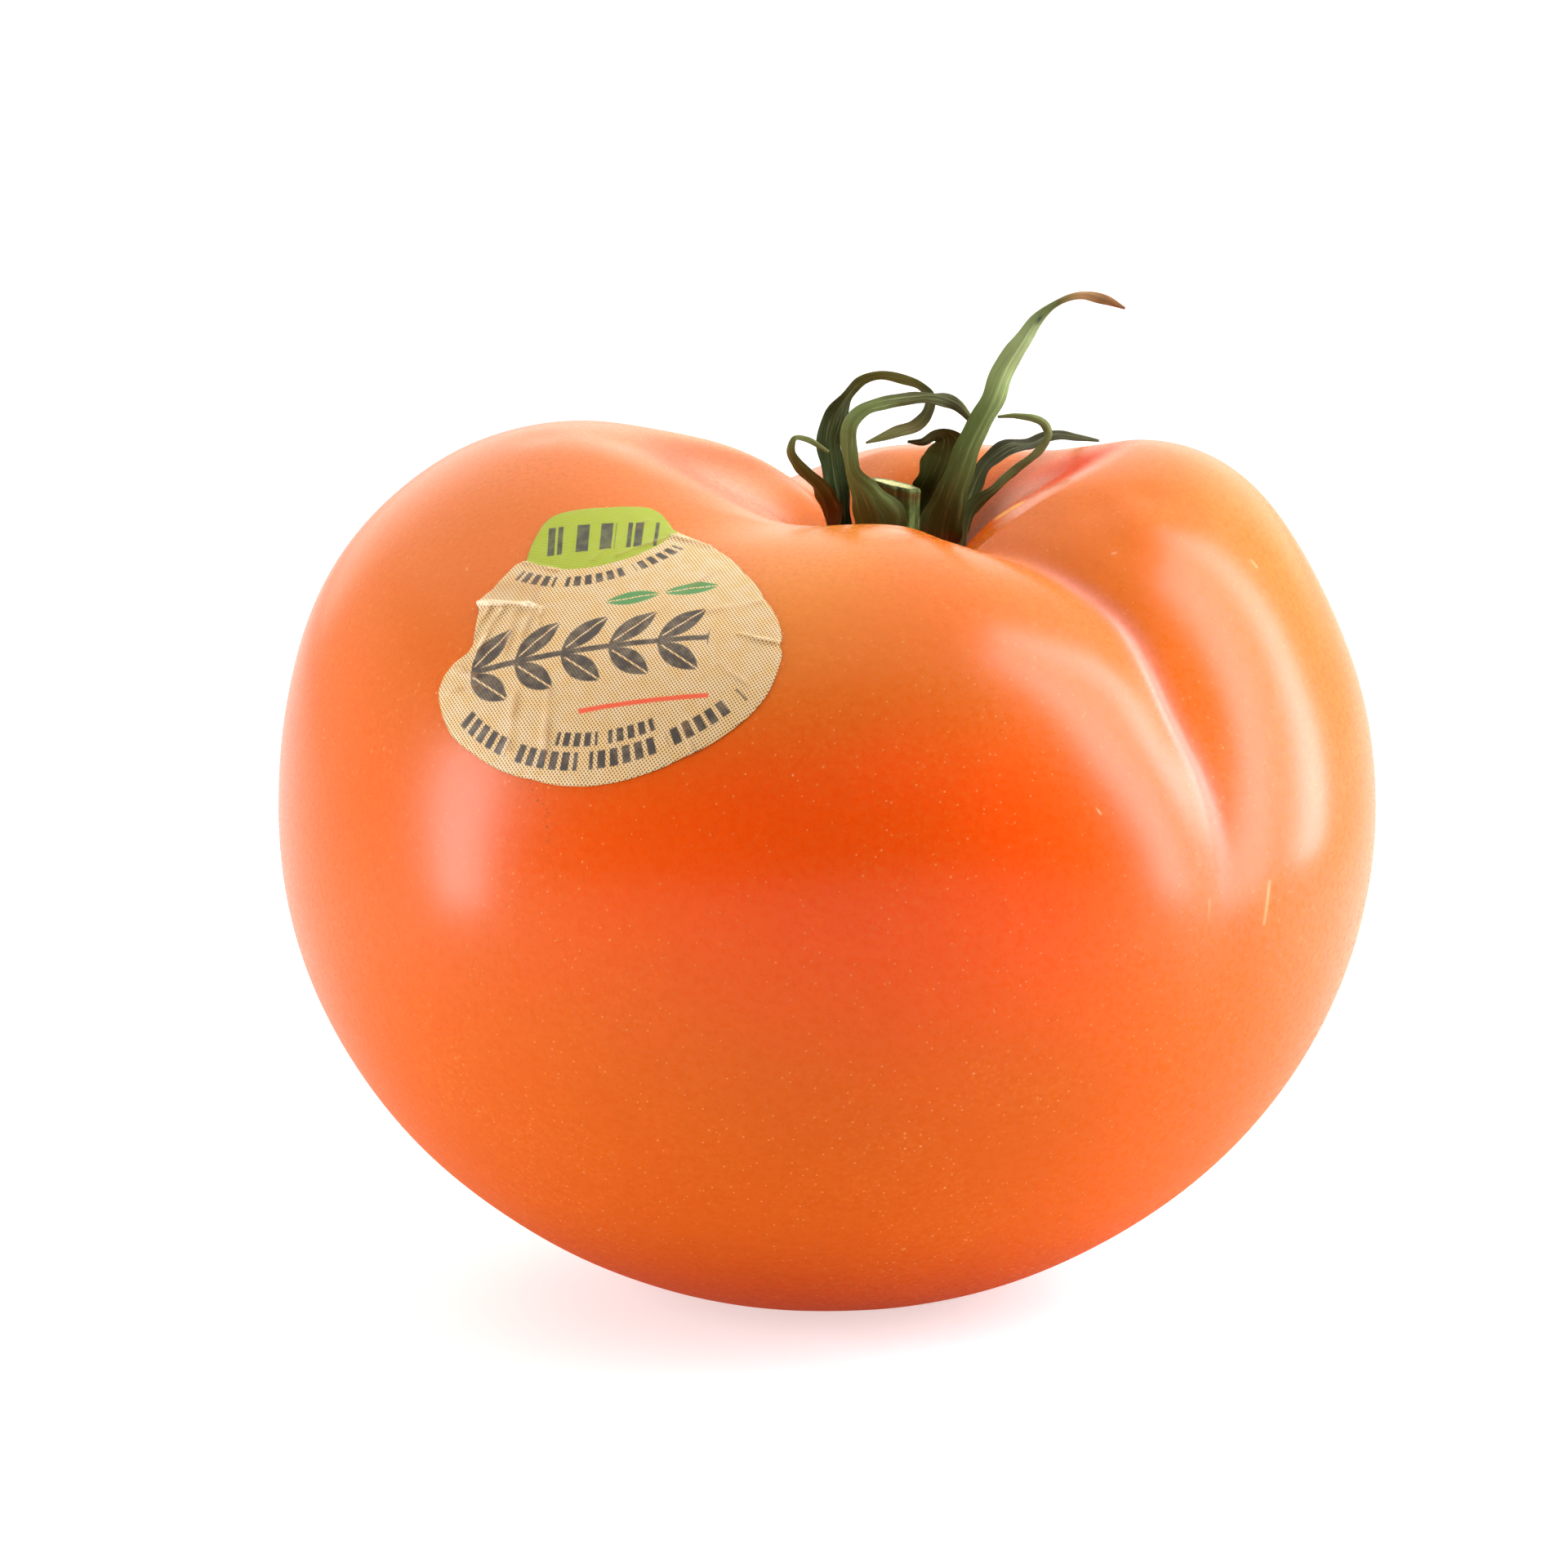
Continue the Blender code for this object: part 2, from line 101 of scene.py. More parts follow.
def skin(theta, alpha):
    """Points of the skin. theta runs round the fruit in radians, alpha up one side in degrees:
    -90 foot, 0 equator, 90 shoulder ring, 180 dimple floor. Two quarter ovals make the side, a
    soft bowl sinks inside the ring, a pit exp(-(r / width)^3.4) drops from the bowl, furrows are
    pressed in along the outward direction and the crown leans towards +X."""
    angle = np.radians(np.clip(alpha, -90, 90))
    out, up = np.cos(angle), np.sin(angle)
    reach = FRUIT_WIDTH / 2 + WIDTH_OVAL * (np.cos(2 * theta) - 1)
    ring_height, ring_radius = shoulder(theta)
    below = alpha <= 0
    rho = np.where(below, reach * out, ring_radius + (reach - ring_radius) * out)
    z = np.where(below, (EQUATOR_HEIGHT + FOOT_FLATTENING) * up, ring_height * up)
    inside = alpha > 90
    rho = np.where(inside, ring_radius * (1 - np.clip((alpha - 90) / 90, 0, 1)), rho)
    bowl = smooth((rho - DISC_RADIUS) / (ring_radius - DISC_RADIUS))
    z = np.where(inside, LIP_HEIGHT + (ring_height - LIP_HEIGHT) * bowl, z)
    z = z - PIT_DEPTH * np.exp(-(rho / PIT_WIDTH) ** PIT_SHARPNESS) * (alpha > 0)
    climb = (np.clip(alpha, 0, 90) / 80) ** FURROW_SWING
    furrow = sum(depth * bump(theta - np.radians(turn * climb), centre, width)
                 for centre, turn, width, depth in FURROWS)
    furrow = furrow * smooth((alpha + 30) / 60) * (1 - smooth((alpha - 120) / 50))
    rho = rho - furrow * np.where(inside, 0.0, out)
    z = z - furrow * np.where(inside, 1.0, up)
    x = rho * np.cos(theta) + STEM_OFFSET * smooth((alpha - 25) / 85)
    y = rho * np.sin(theta) * FRUIT_DEPTH / FRUIT_WIDTH
    return np.stack([x, y, np.maximum(EQUATOR_HEIGHT + z, 0.0)], -1)


# Small hollows in the crown: place in metres, radius and depth in mm.
DENTS = ((0.0211, -0.0141, 0.0658, 1.9, 0.22), (0.0250, -0.0127, 0.0666, 1.6, 0.20),
         (0.0282, -0.0131, 0.0656, 1.8, 0.16), (0.0242, -0.0159, 0.0647, 1.7, -0.14),
         (-0.0166, -0.0009, 0.0693, 2.6, 0.20), (-0.0232, -0.0015, 0.0698, 2.2, 0.16),
         (0.0120, 0.0210, 0.0660, 2.4, 0.20), (-0.0140, 0.0190, 0.0670, 2.8, 0.22))
CREASE_WIDTH, CREASE_DEPTH = 1.5, 0.00016


def crease_line(theta, alpha):
    """1 on the fold at the bottom of the right furrow, falling off as exp(-(turn / width)^2);
    it fades out at the equator and at the shoulder ring."""
    climb = (np.clip(alpha, 0, 90) / 80) ** FURROW_SWING
    centre, turn = FURROWS[1][:2]
    drift = np.radians((turn + 2) * climb + 0.5 * np.sin(np.radians(alpha) * 9))
    line = bump(theta - drift, centre, CREASE_WIDTH)
    return line * smooth((alpha + 8) / 22) * (1 - smooth((alpha - 62) / 22))


def fine_skin(theta, alpha):
    """The skin with its small unevenness: low waves sin(5 turns) sin(climb), the fold line in
    the right furrow and shallow round hollows depth exp(-(distance / radius)^2)."""
    points = skin(theta, alpha)
    outward = unit(points - np.array((0.0, 0.0, 0.036)))
    wave = (np.sin(5 * theta + alpha / 19) * np.sin(alpha / 17 + 2.0)
            + 0.6 * np.sin(11 * theta - alpha / 13) * np.sin(alpha / 9 + 1.0))
    wave = wave * 0.00007 * smooth((alpha + 80) / 30) * (1 - smooth((alpha - 90) / 30))
    sink = CREASE_DEPTH * crease_line(theta, alpha)
    for x, y, z, radius, depth in DENTS:
        apart = np.sum((points - np.array((x, y, z))) ** 2, -1)
        sink = sink + depth * MM * np.exp(-apart / (radius * MM) ** 2)
    points = points + outward * (wave - sink)[..., None]
    points[..., 2] = np.maximum(points[..., 2], 0.0)
    return points


def settle(theta, alpha, miss):
    """Newton steps in (theta, alpha) until miss(point) is nil in both its values."""
    step_t, step_a = 0.001, 0.05
    for _ in range(14):
        here = miss(skin(theta, alpha))
        d_t = (miss(skin(theta + step_t, alpha)) - here) / step_t
        d_a = (miss(skin(theta, alpha + step_a)) - here) / step_a
        det = d_t[..., 0] * d_a[..., 1] - d_a[..., 0] * d_t[..., 1]
        det = np.where(np.abs(det) < 1e-12, 1e-12, det)
        move_t = (here[..., 0] * d_a[..., 1] - here[..., 1] * d_a[..., 0]) / det
        move_a = (here[..., 1] * d_t[..., 0] - here[..., 0] * d_t[..., 1]) / det
        theta = theta - np.clip(move_t, -0.3, 0.3)
        alpha = alpha - np.clip(move_a, -12, 12)
    return theta, alpha


def skin_height(x, y):
    """Height of the crown's skin over a place: the skin point whose x and y are the place's."""
    squash = FRUIT_DEPTH / FRUIT_WIDTH
    theta = np.arctan2(y / squash, x - STEM_OFFSET)
    rho = np.hypot(x - STEM_OFFSET, y / squash)
    ring = shoulder(theta)[1]
    start = np.where(rho < ring, 180 - 90 * rho / ring, 80.0)
    target = np.stack([x, y], -1)
    theta, alpha = settle(theta, start, lambda point: point[..., :2] - target)
    return skin(theta, alpha)[..., 2]


def sheet_mesh(name, points, round_way=False, first=None, last=None, uv=None):
    """Mesh over a grid of points (rows, columns). round_way joins the last column to the first,
    first and last are single points that close the rows' ends with fans, and uv holds a pair for
    each vertex."""
    rows, columns = points.shape[:2]
    verts = points.reshape(-1, 3)
    index = np.arange(rows * columns).reshape(rows, columns)
    across = np.concatenate([index, index[:, :1]], 1) if round_way else index
    quads = np.stack([across[:-1, :-1], across[:-1, 1:], across[1:, 1:], across[1:, :-1]], -1)
    faces, sizes = [quads.reshape(-1)], [np.full(quads.shape[0] * quads.shape[1], 4)]
    for point, row, flip in ((first, across[0], True), (last, across[-1], False)):
        if point is None:
            continue
        pole = np.full(len(row) - 1, len(verts))
        verts = np.concatenate([verts, [point]])
        fan = (pole, row[1:], row[:-1]) if flip else (row[:-1], row[1:], pole)
        faces.append(np.stack(fan, -1).reshape(-1))
        sizes.append(np.full(len(pole), 3))
    corners, sizes = np.concatenate(faces), np.concatenate(sizes)
    mesh = bpy.data.meshes.new(name)
    mesh.vertices.add(len(verts))
    mesh.vertices.foreach_set("co", verts.astype(np.float32).ravel())
    mesh.loops.add(len(corners))
    mesh.loops.foreach_set("vertex_index", corners.astype(np.int32))
    mesh.polygons.add(len(sizes))
    mesh.polygons.foreach_set("loop_start", np.concatenate([[0], np.cumsum(sizes)[:-1]]).astype(np.int32))
    mesh.update(calc_edges=True)
    mesh.validate()
    mesh.shade_smooth()
    if uv is not None:
        layer = mesh.uv_layers.new(name="UVMap")
        layer.data.foreach_set("uv", uv[corners].astype(np.float32).ravel())
    return mesh


def tint(mesh, name, values):
    """Store one number for each vertex, for materials to read."""
    mesh.attributes.new(name, "FLOAT", "POINT").data.foreach_set("value", values.astype(np.float32))


def place(mesh, look, node):
    """Put a finished piece in the scene in its CAD node's stead."""
    piece = bpy.data.objects.new(mesh.name, mesh)
    bpy.context.scene.collection.objects.link(piece)
    mesh.materials.clear()
    mesh.materials.append(look)
    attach(piece, "root")
    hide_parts(node)


# ---------------------------------------------------------------- finishes
def math_method(operation, swapped=False):
    """A method of Wire that adds one Math node. Swapped puts the wire's own value last."""
    def method(self, *others):
        values = (*others, self) if swapped else (self, *others)
        return self.math(operation, *values)

    return method


class Wire:
    """A value on its way through a material. Python's operators add its Math nodes."""

    def __init__(self, finish, socket):
        self.finish, self.socket = finish, socket

    def math(self, operation, *values):
        return self.finish.add("ShaderNodeMath", {"operation": operation}, values)

    __add__, __radd__ = math_method("ADD"), math_method("ADD", True)
    __sub__, __rsub__ = math_method("SUBTRACT"), math_method("SUBTRACT", True)
    __mul__, __truediv__ = math_method("MULTIPLY"), math_method("DIVIDE")
    __pow__, __abs__ = math_method("POWER"), math_method("ABSOLUTE")
    least, most = math_method("MINIMUM"), math_method("MAXIMUM")
    sine = math_method("SINE")

    def ease(self, low, high, start=0.0, end=1.0):
        """Soft step between two values."""
        return self.finish.add("ShaderNodeMapRange", {"interpolation_type": "SMOOTHSTEP"},
                               {"Value": self, "From Min": low, "From Max": high,
                                "To Min": start, "To Max": end})

    def bell(self, centre, width):
        """1 at the centre, falling to 0 a width away."""
        return abs(self - centre).ease(0.0, width, 1.0, 0.0)


class Finish:
    """A material under construction."""

    def __init__(self, name):
        self.material = bpy.data.materials.new(name)
        self.material.use_nodes = True
        self.tree = self.material.node_tree
        self.tree.nodes.clear()
        self.shader = self.tree.nodes.new("ShaderNodeBsdfPrincipled")
        self.output = self.tree.nodes.new("ShaderNodeOutputMaterial")
        self.tree.links.new(self.shader.outputs[0], self.output.inputs[0])

    def add(self, kind, settings=None, values=(), output=0):
        """One node: its settings first, then its values or links by name or in order."""
        node = self.tree.nodes.new(kind)
        for name, setting in (settings or {}).items():
            if name == "stops":
                ramp = node.color_ramp.elements
                while len(ramp) < len(setting):
                    ramp.new(0.5)
                for element, (position, colour) in zip(ramp, setting):
                    element.position, element.color = position, (*colour, 1.0)
            else:
                setattr(node, name, setting)
        pairs = values.items() if isinstance(values, dict) else enumerate(values)
        for name, value in pairs:
            self.feed(node.inputs[name], value)
        return Wire(self, node.outputs[output])

    def feed(self, socket, value):
        if isinstance(value, Wire):
            self.tree.links.new(value.socket, socket)
        elif hasattr(socket.default_value, "__len__") and len(value) == 3 < len(socket.default_value):
            socket.default_value = (*value, 1.0)
        else:
            socket.default_value = value

    def set(self, **values):
        """The shader's own sockets, spaces in their names as underscores."""
        for name, value in values.items():
            self.feed(self.shader.inputs[name.replace("_", " ")], value)

    def fade(self, share, **values):
        """Give way to a second shader with these values as share goes from 0 to 1."""
        first, self.shader = self.shader, self.tree.nodes.new("ShaderNodeBsdfPrincipled")
        self.set(**values)
        mix = self.tree.nodes.new("ShaderNodeMixShader")
        self.feed(mix.inputs[0], share)
        self.tree.links.new(first.outputs[0], mix.inputs[1])
        self.tree.links.new(self.shader.outputs[0], mix.inputs[2])
        self.tree.links.new(mix.outputs[0], self.output.inputs[0])

    def blend(self, share, first, second):
        """Colour that goes from the first to the second as share goes from 0 to 1."""
        node = self.tree.nodes.new("ShaderNodeMix")
        node.data_type = "RGBA"
        self.feed(node.inputs[0], share)
        self.feed(node.inputs[6], first)
        self.feed(node.inputs[7], second)
        return Wire(self, node.outputs[2])

    def where(self):
        """Object coordinates, in metres."""
        return self.add("ShaderNodeTexCoord", output=3)

    def split(self, vector):
        node = self.tree.nodes.new("ShaderNodeSeparateXYZ")
        self.feed(node.inputs[0], vector)
        return [Wire(self, socket) for socket in node.outputs]

    def join(self, x, y, z):
        return self.add("ShaderNodeCombineXYZ", None, (x, y, z))

    def noise(self, vector, scale, detail, roughness):
        return self.add("ShaderNodeTexNoise", None, {"Vector": vector, "Scale": scale, "Detail": detail,
                                                     "Roughness": roughness})

    def cells(self, vector, scale):
        """Distance to the nearest of a scatter of points."""
        return self.add("ShaderNodeTexVoronoi", None, {"Vector": vector, "Scale": scale})

    def read(self, name):
        return self.add("ShaderNodeAttribute", {"attribute_name": name}, output=2)

    def relief(self, height, distance, strength):
        return self.add("ShaderNodeBump", None,
                        {"Height": height, "Distance": distance, "Strength": strength})


# Marks on the skin: from and to in mm, width and raggedness in mm, strength.
SCAR = (13.6, -8.8, 64.3), (15.2, -9.0, 65.3), 0.75, 1.6
PALE_MARKS = (((34.3, -25.6, 37.9), (33.8, -25.9, 34.7), 0.28, 0.4, 0.55),
              ((29.3, -30.1, 37.4), (29.2, -30.2, 35.8), 0.20, 0.3, 0.45),
              ((20.3, -35.9, 45.7), (20.6, -35.7, 45.1), 0.16, 0.1, 0.8),
              ((22.1, -18.6, 62.8), (22.7, -18.2, 62.6), 0.22, 0.3, 0.7),
              ((33.4, -14.0, 61.6), (33.8, -14.0, 61.0), 0.24, 0.3, 0.6),
              ((-28.4, -17.4, 61.7), (-28.3, -17.6, 61.2), 0.16, 0.1, 0.7))
SCUFFS = (((-23.6, -33.0, 47.4), (-21.7, -34.8, 45.4), 1.1, 2.6, 1.0),
          ((-21.7, -34.8, 45.6), (-21.0, -36.1, 41.6), 0.9, 2.4, 1.0),
          ((-18.9, -37.3, 41.6), (-18.6, -37.6, 40.2), 0.6, 1.6, 0.8))


def skin_finish(settings):
    """Waxy ripe skin: orange turning deep red-orange in patches, golden round the dimple, with
    fine pale grain and specks, a pink fold line, a corky scar and a few scuffs. The shine fades
    towards the underside."""
    f = Finish("tomato_skin")
    here = f.where()
    z = f.split(here)[2]
    patches = f.noise(here, 30.0, 3.0, 0.55)
    grain = f.noise(here, 1700.0, 4.0, 0.65)
    cluster = f.noise(here, 70.0, 3.0, 0.6)
    colour = f.blend(z.ease(0.004, 0.036, 1.0, 0.0), settings.ripe_colour, settings.underside_colour)
    # Painted shade: the skin darkens towards the resting spot, where less light reaches it.
    colour = f.blend(z.ease(0.0, 0.012, 0.75, 0.0), colour, settings.foot_painted_shade)
    colour = f.blend(z.ease(0.042, 0.070, 0.0, 0.40), colour, settings.golden_colour)
    colour = f.blend((f.read("deep") + (patches - 0.5) * 0.55).ease(0.05, 0.95), colour, settings.deep_colour)
    colour = f.blend((f.read("golden") * (0.75 + patches * 0.5)).least(0.9), colour, settings.golden_colour)
    colour = f.blend((f.read("inner") * (0.6 + patches * 0.8)).least(0.95), colour, settings.inner_colour)
    lumps = f.cells(here, 1900.0).ease(0.12, 0.50, 1.0, 0.0) * cluster.ease(0.42, 0.68, 0.15, 1.0)
    colour = f.blend(lumps * 0.26 + grain.ease(0.35, 0.75) * 0.08, colour, settings.speck_colour)
    dots = f.cells(here, 520.0).ease(0.030, 0.075, 1.0, 0.0) * cluster.ease(0.40, 0.62)
    fine = f.cells(here, 1300.0).ease(0.06, 0.14, 1.0, 0.0) * cluster.ease(0.20, 0.55, 0.4, 1.0)
    specks = (dots * 0.8 + fine * 0.75).least(1.0)
    colour = f.blend(specks * 0.65, colour, (0.92, 0.44, 0.17))
    fold = f.read("fold")
    colour = f.blend((fold * (0.45 + cluster * 0.5)).least(0.75), colour, (0.64, 0.21, 0.15))

    def streak(start, end, width, ragged):
        """1 along a short line between two places in mm, falling to 0 a width away."""
        a, b = Vector(start) * MM, Vector(end) * MM
        along = f.add("ShaderNodeVectorMath", {"operation": "SUBTRACT"}, (here, tuple(a)))
        share = f.add("ShaderNodeVectorMath", {"operation": "DOT_PRODUCT"}, (along, tuple(b - a)), 1)
        share = (share / (b - a).length_squared).most(0.0).least(1.0)
        foot = f.add("ShaderNodeVectorMath", {"operation": "SCALE"}, {"Vector": tuple(b - a), "Scale": share})
        gap = f.add("ShaderNodeVectorMath", {"operation": "DISTANCE"}, (along, foot), 1)
        return (gap + (grain - 0.5) * (ragged * MM)).ease(0.0, width * MM, 1.0, 0.0)

    def strongest(marks):
        """The strongest of several streaks at each place."""
        shares = [streak(*mark[:4]) * mark[4] for mark in marks]
        total = shares[0]
        for share in shares[1:]:
            total = total.most(share)
        return total

    scar = streak(*SCAR)
    colour = f.blend(scar.least(0.9), colour, (0.78, 0.42, 0.06))
    pale = strongest(PALE_MARKS)
    colour = f.blend(pale, colour, (0.92, 0.45, 0.20))
    scuff = strongest(SCUFFS)
    dust = f.cells(here, 2600.0).ease(0.22, 0.42, 1.0, 0.0) * grain.ease(0.46, 0.60)
    colour = f.blend(scuff * dust * 0.85, colour, (0.10, 0.035, 0.020))
    f.set(Base_Color=colour, Roughness=(grain.ease(0.2, 0.8, 0.25, 0.31) + scar * 0.3).least(0.8),
          Coat_Weight=0.05, Coat_Roughness=0.16, Specular_IOR_Level=0.22,
          Specular_Tint=(1.0, 0.93, 0.78), Subsurface_Weight=0.10,
          Subsurface_Scale=0.003, Subsurface_Radius=(1.0, 0.15, 0.04),
          Normal=f.relief(specks * 0.3 + scar * 4.0, 0.00002, 0.12))
    dull = z.ease(0.006, 0.047, 0.88, 0.0).most(f.read("inner") * 0.8)
    f.fade(dull, Base_Color=colour, Roughness=0.6, Specular_IOR_Level=0.0,
           Subsurface_Weight=0.10, Subsurface_Scale=0.003, Subsurface_Radius=(1.0, 0.15, 0.04))
    return f.material


# ---------------------------------------------------------------- sepals
FACING = {"F": (0, -1, 0), "B": (0, 1, 0), "L": (-1, 0, 0), "R": (1, 0, 0), "U": (0, 0, 1),
          "D": (0, 0, -1)}

# Where each sepal leaves the disc in degrees, its width there in mm and the facing of its outer
# side, then the points it passes: mm right of the stem's axis, behind it and above the dimple's
# rim, width in mm, facing.
SEPALS = {
    "sepal_tall": (-50, 2.6, "FRD", (
        (3.2, -3.9, -2.6, 3.0, "FR"), (3.8, -4.5, 0.5, 3.4, "F"), (4.4, -5.0, 2.8, 2.6, "F"),
        (5.4, -5.0, 5.8, 2.1, "F"), (6.6, -4.5, 8.4, 1.9, "F"), (7.6, -4.0, 10.3, 1.9, "F"),
        (8.7, -3.0, 12.8, 1.8, "F"), (10.0, -2.5, 14.8, 1.5, "F"), (11.0, -2.0, 16.3, 1.1, "F"),
        (12.9, -1.5, 17.9, 0.6, "FU"), (15.0, -1.0, 18.5, 0.8, "FU"), (16.8, -1.0, 18.1, 0.8, "F"),
        (18.4, -1.0, 17.4, 0.2, "F"))),
    "sepal_arch": (-108, 2.6, "FD", (
        (-1.3, -5.2, -2.4, 3.6, "F"), (-1.4, -6.2, 0.8, 4.3, "F"), (-2.3, -6.8, 3.0, 2.6, "F"),
        (-3.6, -7.0, 5.1, 1.6, "FL"), (-3.9, -7.0, 7.2, 1.4, "FFL"), (-3.7, -6.9, 8.9, 1.5, "FFLU"),
        (-2.7, -6.5, 9.9, 1.4, "FU"), (-1.0, -5.5, 10.4, 1.3, "FU"), (1.1, -4.5, 10.6, 1.2, "FU"),
        (3.2, -3.5, 10.5, 1.4, "FU"), (4.8, -2.5, 9.9, 1.1, "FR"), (6.2, -1.6, 8.3, 0.5, "FR"))),
    "sepal_curl": (150, 2.4, "LBD", (
        (-4.4, 2.2, -1.8, 2.4, "LB"), (-4.8, 1.0, 2.0, 2.3, "LBB"), (-5.2, 0.0, 4.8, 2.2, "LBB"),
        (-5.4, -0.5, 6.7, 2.2, "LBB"), (-4.9, -0.5, 8.7, 2.1, "LBB"), (-4.0, -0.5, 10.4, 1.7, "LUB"),
        (-2.9, -0.5, 11.5, 1.4, "UB"), (-1.4, -0.5, 12.0, 1.2, "UB"), (0.3, -0.5, 11.8, 1.2, "UB"),
        (2.0, -0.5, 11.2, 1.1, "URB"), (2.8, -0.3, 10.3, 1.1, "RB"), (2.7, -0.2, 9.0, 1.2, "RB"),
        (1.7, -0.8, 7.9, 1.3, "DB"), (0.1, -1.5, 7.4, 1.2, "DB"), (-2.4, -2.4, 6.7, 0.2, "DB"))),
    "sepal_left": (188, 2.6, "LD", (
        (-5.1, -0.9, -2.2, 2.4, "L"), (-5.4, -1.3, 1.4, 2.4, "LF"), (-6.3, -2.2, 3.2, 2.2, "LF"),
        (-7.3, -2.8, 4.3, 1.7, "LF"), (-8.1, -3.2, 5.2, 1.2, "LF"), (-8.5, -3.4, 6.3, 0.9, "LF"),
        (-8.2, -3.3, 7.2, 0.7, "UFL"), (-7.2, -2.9, 7.1, 0.7, "UF"), (-5.4, -2.6, 6.0, 0.3, "UF"))),
    "sepal_hook": (85, 2.6, "B", (
        (1.0, 4.5, -2.4, 2.7, "B"), (2.7, 3.1, 1.0, 3.3, "B"), (3.6, 1.7, 3.4, 3.8, "B"),
        (4.3, 1.0, 5.6, 3.4, "B"), (4.1, 0.5, 7.0, 2.2, "BU"), (3.2, 0.1, 7.1, 1.4, "BU"),
        (2.1, -0.3, 6.6, 1.0, "BU"), (1.0, -0.7, 6.6, 0.4, "BU"))),
    "sepal_right": (-8, 2.4, "RD", (
        (5.2, -0.8, -2.4, 2.2, "R"), (6.1, -0.5, 1.0, 1.7, "RF"), (8.2, 0.2, 2.7, 1.2, "FD"),
        (9.7, 1.0, 4.0, 1.1, "FD"), (11.0, 1.5, 4.9, 1.0, "FD"), (12.0, 1.9, 5.8, 1.0, "FR"),
        (12.5, 2.0, 6.8, 0.9, "FR"), (12.1, 2.0, 7.7, 0.8, "FU"), (11.2, 2.0, 8.2, 0.7, "FU"),
        (9.9, 2.0, 8.4, 0.6, "FU"), (8.3, 2.0, 8.3, 0.3, "FU"))),
    "sepal_back": (35, 2.4, "RBD", (
        (4.8, 3.6, -2.4, 2.3, "RB"), (6.3, 4.7, 1.5, 2.0, "RB"), (7.6, 5.4, 3.9, 1.8, "RBD"),
        (9.3, 6.3, 5.2, 1.6, "BD"), (11.3, 8.0, 5.3, 1.3, "BD"), (13.1, 9.0, 5.9, 1.0, "BD"),
        (15.0, 9.8, 5.6, 0.8, "BD"), (16.9, 10.2, 5.3, 0.3, "BD"))),
}


def facing(letters):
    return unit(np.sum([FACING[letter] for letter in letters], axis=0, dtype=float))


def through(knots, values, at):
    """Cubic pieces through the values at the knots, their slopes from the neighbours."""
    slopes = np.gradient(values, knots, axis=0)
    index = np.clip(np.searchsorted(knots, at, side="right") - 1, 0, len(knots) - 2)
    span = (knots[index + 1] - knots[index])[:, None]
    t = (at - knots[index])[:, None] / span
    return ((1 + 2 * t) * (1 - t) ** 2 * values[index] + t * (1 - t) ** 2 * span * slopes[index]
            + t * t * (3 - 2 * t) * values[index + 1] + t * t * (t - 1) * span * slopes[index + 1])


def sepal_line(root_angle, root_width, root_facing, stations, at):
    """Centre line, width and facing at shares of a sepal's length."""
    angle = math.radians(root_angle)
    start = DISC_RADIUS - ROOT_TUCK
    points = [(start * math.cos(angle) + STEM_OFFSET, start * math.sin(angle), RIM - 0.0058)]
    points += [(x * MM + STEM_OFFSET, y * MM, z * MM + RIM) for x, y, z, _, _ in stations]
    points = np.array(points)
    widths = np.array([[root_width * MM]] + [[station[3] * MM] for station in stations])
    faces = np.array([facing(root_facing)] + [facing(station[4]) for station in stations])
    run = np.concatenate([[0.0], np.cumsum(np.linalg.norm(np.diff(points, axis=0), axis=1))])
    where = at * run[-1]
    return (through(run, points, where), through(run, widths, where)[:, 0],
            unit(through(run, faces, where)), run[-1])


def sepal_mesh(name, spec, settings, seed):
    """A leaf strip along its line. Its section is a thin lens, x = cos(t), with a raised midrib
    outside and two side ribs, hollowed by -cup x^2; its edges ripple a little along the way."""
    steps, around = 220, 36
    along = np.linspace(0.0, 1.0, steps)
    centre, width, face, length = sepal_line(*spec, along)
    tangent = unit(np.gradient(centre, axis=0))
    side = unit(np.cross(tangent, face))
    outward = np.cross(side, tangent)
    turn = np.linspace(0, math.tau, around, endpoint=False)
    x, t = np.cos(turn)[None, :], np.sin(turn)[None, :]
    s = along[:, None]
    half = (width / 2)[:, None]
    ripple = 1 + 0.07 * np.sin(s * 31 + seed * 2.1 + 1.3 * x) + 0.04 * np.sin(s * 67 + seed * 4.7 - 2 * x)
    thick = settings.sepal_thickness / 2 * (1.0 - 0.55 * x ** 2)
    thick = thick * np.minimum(1, 0.35 + width / 0.0016)[:, None]
    ribs = 0.55 * np.exp(-(x / 0.16) ** 2) + 0.22 * np.exp(-((np.abs(x) - 0.55) / 0.13) ** 2)
    ribs = ribs * settings.sepal_thickness * np.minimum(1, width / 0.0020)[:, None] * (1 - 0.6 * s)
    wave = 0.10 * half * x * np.sin(s * 23 + seed * 3.3) + 0.05 * half * x ** 2 * np.sin(s * 47 + seed)
    lift = t * thick + np.where(t > 0, ribs * t, 0.35 * ribs * t) - 0.20 * half * x ** 2 + wave
    points = (centre[:, None] + side[:, None] * (x * half * ripple)[..., None]
              + outward[:, None] * lift[..., None])
    clear = skin_height(points[..., 0], points[..., 1]) + 0.00015
    buried = smooth((s - 0.10) / 0.06)
    height = points[..., 2]
    points[..., 2] = np.where(height < clear, height + (clear - height) * buried, height)
    mesh = sheet_mesh(name, points[:, ::-1], True, points[0].mean(0), points[-1].mean(0))

    def flat(values, first, last):
        """One value for each vertex, with those of the two end points."""
        grid = np.broadcast_to(values, (steps, around))[:, ::-1]
        return np.concatenate([grid.ravel(), [first, last]])

    tint(mesh, "along", flat(s, 0, 1))
    tint(mesh, "across", flat(x, 0, 0))
    tint(mesh, "outside", flat((t > 0) * 1.0, 0, 0))
    tint(mesh, "run", flat(s * length * 1000, 0, length * 1000))
    return mesh


